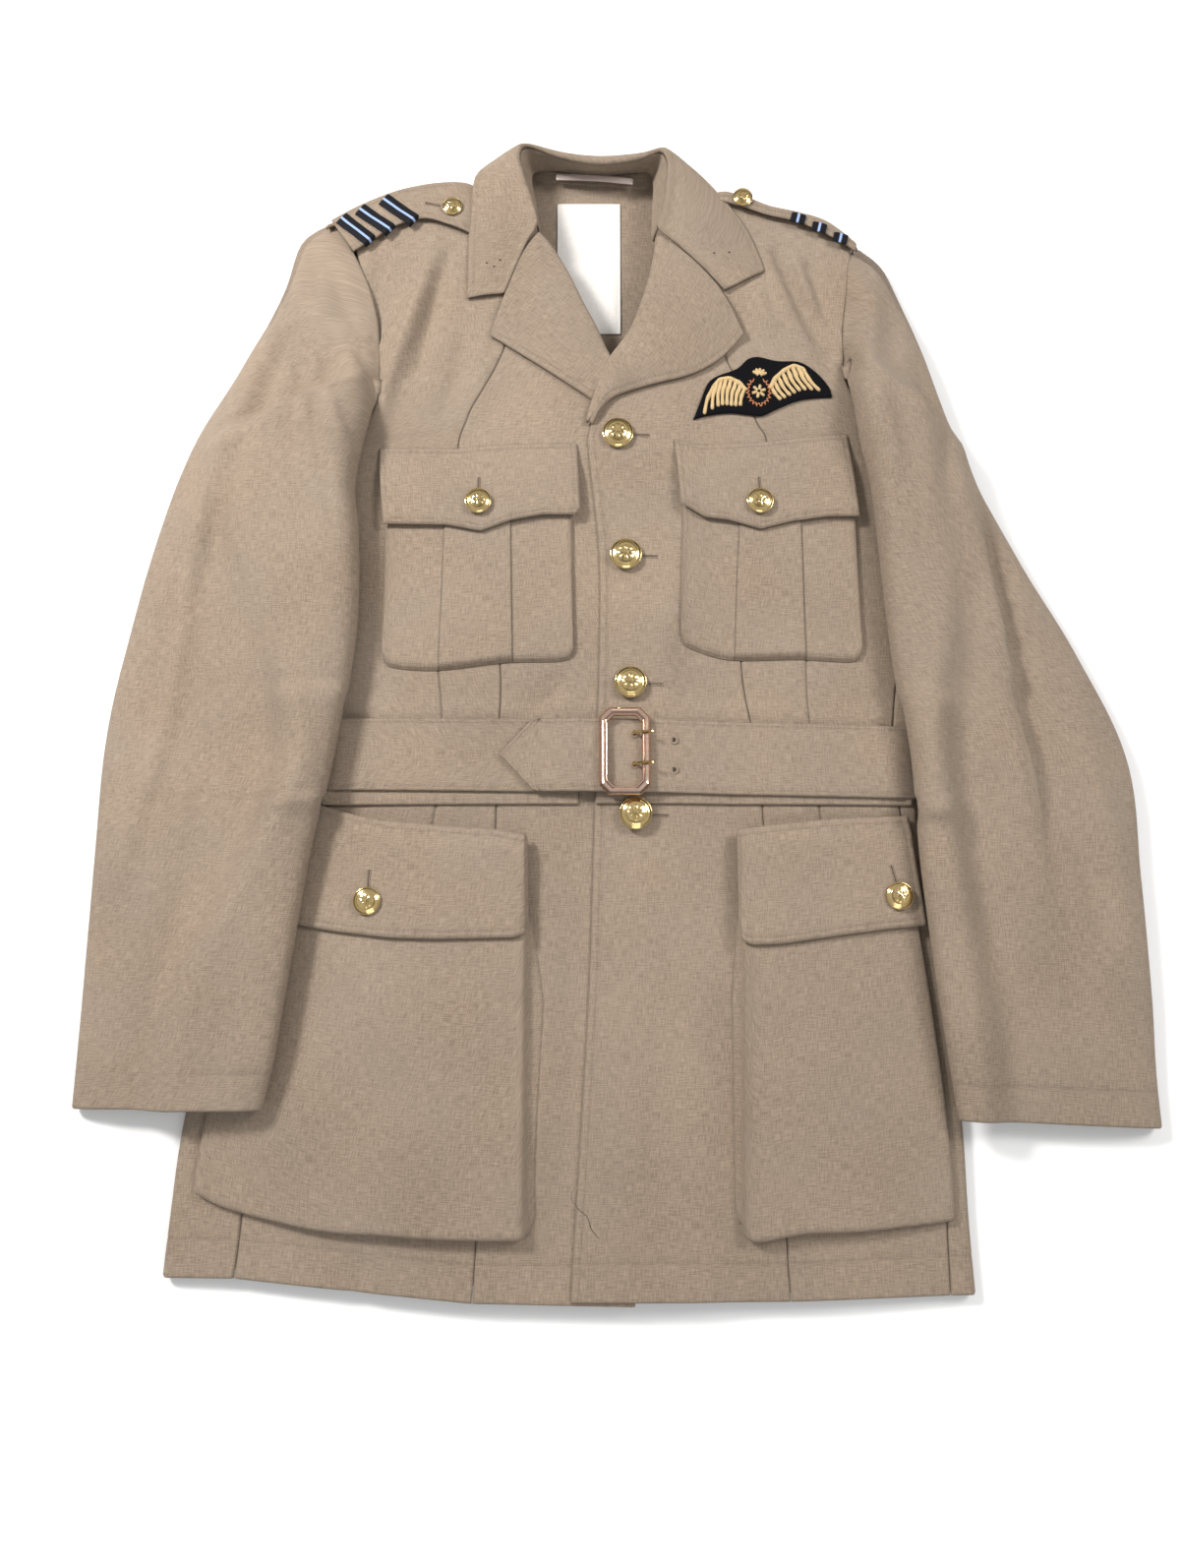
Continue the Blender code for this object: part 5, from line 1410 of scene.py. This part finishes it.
def buttonhole(cloth, x, y, length, angle):
    """A worked buttonhole: stitches side by side on both edges of a slit, and the slit as dark grains of
    painted shade.
    """
    start, along = np.array([x, y]), toward(math.radians(angle))
    aside = np.array([-along[1], along[0]])
    tops, ways = [], []
    for row in (-1, 1):
        for at in np.arange(0, length, 0.75):
            tops.append(cloth.top(*(start + along * at + aside * row * 0.95)))
            ways.append((aside[0] * row, aside[1] * row, 0))
    middles, facings = (np.array(column) for column in zip(*tops))
    facings /= np.linalg.norm(facings, axis=1, keepdims=True)
    ways = np.array(ways)
    ways -= facings * (ways * facings).sum(axis=1, keepdims=True)
    slit_shade = np.array([cloth.top(*(start + along * at))[0] for at in np.arange(0.3, length - 0.2, 0.6)])
    way, up = (np.tile(one, (len(slit_shade), 1)) for one in ((*along, 0), (0.0, 0.0, 1.0)))
    return grains(middles, ways, facings, 1.7, 0.8, 0.55), grains(slit_shade, way, up, 1.6, 0.7, 0.14)


def make_buttonholes():
    """A buttonhole beside or above each button that the cloth leaves showing."""
    places = [(PIECES["front_left"], x + 10.5, y - 0.5, 13, -2) for x, y in FRONT_BUTTONS]
    places += [(PIECES[node], *row) for node, *row in (
        ("chest_flap_right", -81, 209, 12, 90), ("chest_flap_left", 123.5, 210, 12, 90),
        ("lower_flap_right", -153, -79, 14, 88), ("lower_flap_left", 213, -75, 14, 104),
        ("shoulder_strap_right", -126, 446, 12, -14))]
    threads, slit_shades = zip(*(buttonhole(*row) for row in places))
    add_mesh("buttonhole_threads", *joined(threads), THREAD, "stone_cloth")
    # the slits are dark grains of painted shade
    add_mesh("buttonhole_slit_shade", *joined(slit_shades), DARK, "stone_cloth")


# ---------------------------------------------------------------- metal
ROUND = 48              # points round a button or an eyelet


def circle(count):
    return np.linspace(0, 2 * math.pi, count + 1)[:-1]


def ring(radius, height, around):
    return stacked(radius * np.cos(around), radius * np.sin(around), height)


def fan(count):
    """Triangles from point 0 to the ring of points after it."""
    return [(0, 1 + k, 1 + (k + 1) % count) for k in range(count)]


def band(here, there, count):
    """Faces between the rings of points that start at `here` and at `there`."""
    return [(here + k, here + (k + 1) % count, there + (k + 1) % count, there + k) for k in range(count)]


def crest(r, angle):
    """A plain raised motif for a button's dome: an eight-petal rosette in a ring."""
    petals = 0.5 + 0.5 * np.cos(8 * angle)
    flower = petals * np.exp(-((r - 0.34) / 0.15) ** 2)
    hub = np.exp(-(r / 0.11) ** 2)
    ring = np.exp(-((r - 0.66) / 0.05) ** 2)
    rope = (0.6 + 0.4 * np.cos(28 * angle + 9 * r)) * np.exp(-((r - 0.82) / 0.05) ** 2)
    return 0.036 * flower + 0.03 * hub + 0.02 * ring + 0.022 * rope


def make_button(node):
    """A domed gilt button with a rolled rim and a rosette, standing for its CAD node."""
    low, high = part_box(node)
    centre = np.array([(low[0] + high[0]) / 2, (low[1] + high[1]) / 2, low[2]]) / TO_METRES + CENTRE
    radius = (high[0] - low[0]) / 2 / TO_METRES
    around = circle(ROUND)
    rows = [ring(r, 0.17 + 0.33 * (1 - (r / 1.02) ** 2) ** 0.75 + crest(r, around), around)
            for r in np.concatenate((np.linspace(0.06, 0.9, 22), [0.94, 0.97]))]
    rim = ((0.985, 0.24), (1.0, 0.2), (0.985, 0.14), (0.9, 0.08), (0.6, 0.02), (0.3, 0.01))
    rows += [ring(r, z, around) for r, z in rim]
    verts = np.concatenate([[(0, 0, 0.5 + crest(np.array(0.0), 0.0))], *rows, [(0, 0, 0.01)]])
    faces = fan(ROUND)
    for start in range(1, 1 + (len(rows) - 1) * ROUND, ROUND):
        faces += [(face[0], *face[:0:-1]) for face in band(start, start + ROUND, ROUND)]    # turned over
    last = len(verts) - 1
    faces += [(last - ROUND + k, last, last - ROUND + (k + 1) % ROUND) for k in range(ROUND)]
    made = add_mesh(node + "_gilt", verts * radius + centre, faces, GILT, "gilt_metal")
    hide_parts(node)


def octagon(inset):
    """The buckle's eight-sided outline, drawn in by `inset`, its corners a little rounded."""
    width, height = BUCKLE[0] / 2 - inset, BUCKLE[1] / 2 - inset
    corner = 7.0 - inset * 0.41
    points = np.array([
        (width, height - corner), (width - corner, height), (corner - width, height),
        (-width, height - corner), (-width, corner - height), (corner - width, -height),
        (width - corner, -height), (width, corner - height)])
    before, after = np.roll(points, 1, axis=0), np.roll(points, -1, axis=0)
    soft = [points + (before - points) * 0.12, points + (before - points) * 0.04,
            points + (after - points) * 0.04, points + (after - points) * 0.12]
    return np.stack(soft, axis=1).reshape(-1, 2)


def make_buckle():
    """The open frame: a flat bar bevelled in and out, with a raised lip round its window."""
    low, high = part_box("buckle_frame")
    base, tall = low[2] / TO_METRES, (high[2] - low[2]) / TO_METRES
    profile = ((0.3, 0.0), (0.0, 0.25), (0.0, 0.5), (0.7, 0.8), (1.5, 0.97), (2.2, 1.0), (3.4, 0.86),
               (4.4, 0.86), (5.0, 1.0), (5.6, 0.96), (6.1, 0.7), (6.2, 0.4), (5.9, 0.0))
    loops = [np.insert(octagon(inset), 2, base + tall * share, axis=1) for inset, share in profile]
    count = len(loops[0])
    faces = []
    for row in range(len(loops)):
        faces += band(row * count, (row + 1) % len(loops) * count, count)
    made = add_mesh("buckle_rose_gilt", np.concatenate(loops) + (*BUCKLE_AT, 0), faces, ROSE, "buckle_metal")
    made.data.set_sharp_from_angle(angle=math.radians(28))
    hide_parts("buckle_frame")


def make_prongs():
    for node in ("prong_upper", "prong_lower"):
        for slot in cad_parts[node].material_slots:
            slot.material = GILT


EYELETS = [(5, 30.6), (5, 7.2), (31.3, 30.6), (31.2, 8.6), (59, 26.3), (59, 5)]
EYELET = [(3.7, -0.3), (3.4, 0.25), (2.7, 0.6), (2.0, 0.55), (1.6, 0.25), (1.5, -0.1)]    # radius, height


def make_eyelets():
    """Thread-worked eyelets through the belt: a scalloped ring round a dark disc of painted shade where the
    hole shows.
    """
    around = circle(ROUND)
    scallop = 0.07 * np.cos(12 * around)
    worked = np.concatenate([ring(r * (1 + scallop * (r > 2)), z, around) for r, z in EYELET])
    # a dark disc of painted shade where the hole shows
    hole_shade = np.concatenate(([(0, 0, 0.12)], ring(1.58, 0.12, around)))
    faces = sum((band(row * ROUND, (row + 1) * ROUND, ROUND) for row in range(len(EYELET) - 1)), [])
    middles = [PIECES["belt"].top(x, y)[0] for x, y in EYELETS]
    add_mesh("belt_eyelets", *joined([(worked + at, faces) for at in middles]), THREAD, "stone_cloth")
    add_mesh("belt_eyelet_hole_shade", *joined([(hole_shade + at, fan(ROUND)) for at in middles]), DARK, "stone_cloth")


# ---------------------------------------------------------------- badge
def cord(route, radius, lift, cloth, taper=1.0, ribs=2.2):
    """A padded cord laid on cloth along a route: a half-round ridge, ribbed across, closed below."""
    line = curved(route, np.linspace(0, 1, max(10, 8 * len(route))))
    step = np.gradient(line, axis=0)
    step /= np.linalg.norm(step, axis=1, keepdims=True)
    aside = np.stack((-step[:, 1], step[:, 0]), axis=1)
    share = np.linspace(0, 1, len(line))
    full = radius * (1 - (1 - taper) * share)
    full = full * np.minimum(1, np.sin(math.pi * (0.04 + 0.92 * share)) * 3) ** 0.5
    angles = np.radians((0, 36, 72, 108, 144, 180))
    rows = []
    for k, (x, y) in enumerate(line):
        height = cloth.top(x, y)[0][2]
        swell = 1 + 0.10 * math.cos(ribs * math.pi * k)
        wide, tall = full[k] * swell, full[k] * 1.05 * swell
        over_x, over_y = (aside[k] * wide)[:, None] * np.cos(angles)
        rows.append(stacked(x + over_x, y + over_y, height - 0.15 + lift + tall * np.sin(angles)))
    verts = np.concatenate(rows)
    faces = []
    for k in range(len(rows) - 1):
        start = k * 6
        for j in range(6):
            a, b = start + j, start + (j + 1) % 6
            faces += [(b, a, a + 6), (b, a + 6, b + 6)]
    for j in range(1, 5):
        faces.append((0, j, j + 1))
        faces.append((len(verts) - 6, len(verts) - 6 + j + 1, len(verts) - 6 + j))
    return verts, faces


def wing(cloth, shoulder, tips):
    """An embroidered wing: a thick leading cord and a feather from it to each tip."""
    parts = [cord(shoulder, 1.9, 0.3, cloth, taper=0.8)]
    shares = np.linspace(0.08, 0.97, len(tips))
    for share, tip in zip(shares, tips):
        start = curved(shoulder, share)
        tip = np.array(tip)
        bow = (start + tip) / 2 + (tip - start)[::-1] * (0.06, -0.06)
        parts.append(cord([start, bow, tip], 1.6, 0.0, cloth, taper=0.8))
    for share in np.linspace(0.2, 0.85, 6):
        start = curved(shoulder, share)
        nearest = np.array(tips[int(round(share * (len(tips) - 1)))])
        parts.append(cord([start, start + (nearest - start) * 0.4], 1.2, 0.8, cloth, taper=0.6))
    return parts


WINGS = (
    ([(116, 291), (111, 297), (104, 300.5), (97, 299.5), (92, 294.5)],
     [(111.5, 279), (108, 278.6), (104.8, 278.8), (101.6, 279.2), (98.3, 279), (95, 278), (90.5, 275.5),
      (84.5, 271.5)]),
    ([(134, 293), (138, 301), (144.5, 307.5), (152, 311.5), (160, 309.5)],
     [(142, 284.5), (145.5, 286), (149.3, 288), (153, 290), (156.8, 291.8), (161, 292.8), (166, 293),
      (171.5, 292.5)]),
)                       # the leading edge and the feathers' tips of each wing
FLOWER_AT = np.array([125.6, 291.0])
BUD_AT = np.array([126.3, 303.5])


def make_badge():
    """Wings of cream cord on the felt, a brown wreath between them, a plain flower and a bud."""
    cloth = PIECES["badge"]
    cream = sum((wing(cloth, *rows) for rows in WINGS), [])
    for k in range(6):
        way = toward(k * math.pi / 3 + 0.3)
        cream.append(cord([FLOWER_AT + way * 1.2, FLOWER_AT + way * 5.4], 1.35, 0.1, cloth, taper=0.7))
    for degrees in (24, 84, 144, 54, 114):
        way = toward(math.radians(degrees))
        cream.append(cord([BUD_AT + way * 0.8, BUD_AT + way * 6.0], 1.35, 0.15, cloth, taper=0.7))
    add_mesh("badge_wings", *joined(cream), CREAM, "badge_felt")
    brown = []
    for k in range(17):
        turn = math.radians(128 + 284 * k / 16)
        stem = FLOWER_AT + toward(turn) * (7.2, 9.4)
        flow = 1 if k > 8 else -1
        for lean in (-0.75, 0.75):
            leaf = stem + toward(turn + lean + flow * 0.3) * 3.0
            brown.append(cord([stem, leaf], 0.6, 0.05, cloth, taper=0.5))
    add_mesh("badge_wreath", *joined(brown), BROWN, "badge_felt")


# ---------------------------------------------------------------- small marks
PIN_HOLES = [(-78, 394), (-72.5, 391), (-68, 396.5), (94, 402), (105.5, 403)]
LOOSE_THREAD = [(-10, -276), (-12.5, -283), (-8, -290), (-2, -295), (1, -303), (6, -309)]


def make_marks():
    """Pin holes that an earlier badge left in each collar leaf, as dark discs of painted shade, and a loose
    thread at the hem.
    """
    shade_discs = []
    for x, y in PIN_HOLES:
        middle, facing = PIECES["collar_fall"].top(x, y)
        side = np.cross(facing, (0, 1, 0))
        side /= np.linalg.norm(side)
        other = np.cross(facing, side)
        rim = [middle + facing * 0.12 + side * math.cos(a) * 0.95 + other * math.sin(a) * 0.75
               for a in circle(12)]
        shade_discs.append((np.array([middle + facing * 0.14, *rim]), fan(12)))
    # the pin holes are dark discs of painted shade
    add_mesh("collar_pin_hole_shade", *joined(shade_discs), DARK, "stone_cloth")
    line = curved(LOOSE_THREAD, np.linspace(0, 1, 40))
    points, out = zip(*(PIECES["front_left"].top(x, y) for x, y in line))
    middles, ways, facings = resampled(np.array(points) + (0, 0, 0.3), np.array(out), 1.0)
    add_mesh("loose_thread", *grains(middles, ways, facings, 1.5, 0.4, 0.3), DARK, "stone_cloth")


# ---------------------------------------------------------------- studio
FLOOR_REACH = 3.0       # metres from its middle to its edges, and how far under the jacket it lies
FLOOR_DROP = 0.0004
SKY = ((0.22, 0.2), (0.45, 0.62), (0.7, 0.95), (0.92, 0.9))    # brightness by how steeply one looks up
SKY_STRENGTH = 0.62
LAMPS = (
    ("key", (-1.0, 0.7, 1.1), 26.0, 0.3, (1.0, 0.985, 0.96)),
    ("second", (1.0, 0.5, 1.2), 12.0, 0.5, (1.0, 0.985, 0.965)),
    ("fill", (0.1, -1.4, 1.1), 5.0, 1.0, (0.96, 0.98, 1.0)),
)                       # name, place, watts, size and colour
CAMERA_AT = (-0.01775, -0.22157, 0.80951)
CAMERA_TILT = 10.0      # degrees from straight down
CAMERA_LENS = 25.995


def add_held(name, data):
    """An object for a lamp, the camera or the floor."""
    made = bpy.data.objects.new(name, data)
    bpy.context.scene.collection.objects.link(made)
    return made


def make_studio():
    mesh = bpy.data.meshes.new("floor")
    form = bmesh.new()
    bmesh.ops.create_grid(form, x_segments=2, y_segments=2, size=FLOOR_REACH)
    form.to_mesh(mesh)
    form.free()
    mesh.materials.append(plain_finish("studio_white", (247, 247, 247), (250, 250, 250), 3.0, 0.9))
    floor = add_held("floor", mesh)
    floor.location.z = -FLOOR_DROP
    world = bpy.data.worlds.new("studio")
    world.use_nodes = True
    tree = world.node_tree
    way = add_node(tree, "ShaderNodeTexCoord").outputs["Generated"]
    parts = add_node(tree, "ShaderNodeSeparateXYZ", {"Vector": way})
    ramp = add_node(tree, "ShaderNodeValToRGB", {"Fac": parts.outputs["Z"]})
    for stop, (at, grey) in zip(ramp.color_ramp.elements, ((0.0, 0.1), (1.0, 0.3))):
        stop.position, stop.color = at, (grey, grey, grey * 1.01, 1)
    for at, grey in SKY:
        ramp.color_ramp.elements.new(at).color = (grey, grey, grey, 1)
    tree.links.new(ramp.outputs["Color"], tree.nodes["Background"].inputs["Color"])
    tree.nodes["Background"].inputs["Strength"].default_value = SKY_STRENGTH
    bpy.context.scene.world = world
    for name, place, power, size, tint in LAMPS:
        lamp = bpy.data.lights.new(name, "AREA")
        lamp.energy, lamp.size, lamp.color = power, size, tint
        held = add_held(name, lamp)
        held.location = place
        held.rotation_euler = (-held.location).to_track_quat("-Z", "Y").to_euler()
    bpy.context.scene.view_settings.view_transform = "Standard"


def make_camera():
    camera = bpy.data.cameras.new("camera")
    camera.lens, camera.sensor_width = CAMERA_LENS, 36.0
    held = add_held("camera", camera)
    held.location = CAMERA_AT
    held.rotation_euler = (math.radians(CAMERA_TILT), 0, 0)
    bpy.context.scene.camera = held


make_camera()
make_studio()
make_body()
make_collar()
make_straps()
make_pockets()
make_waist()
make_trim()
make_stitches()
make_buttonholes()
for part in sorted(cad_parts):
    if part.startswith("button_"):
        make_button(part)
make_buckle()
make_prongs()
make_eyelets()
make_badge()
make_marks()
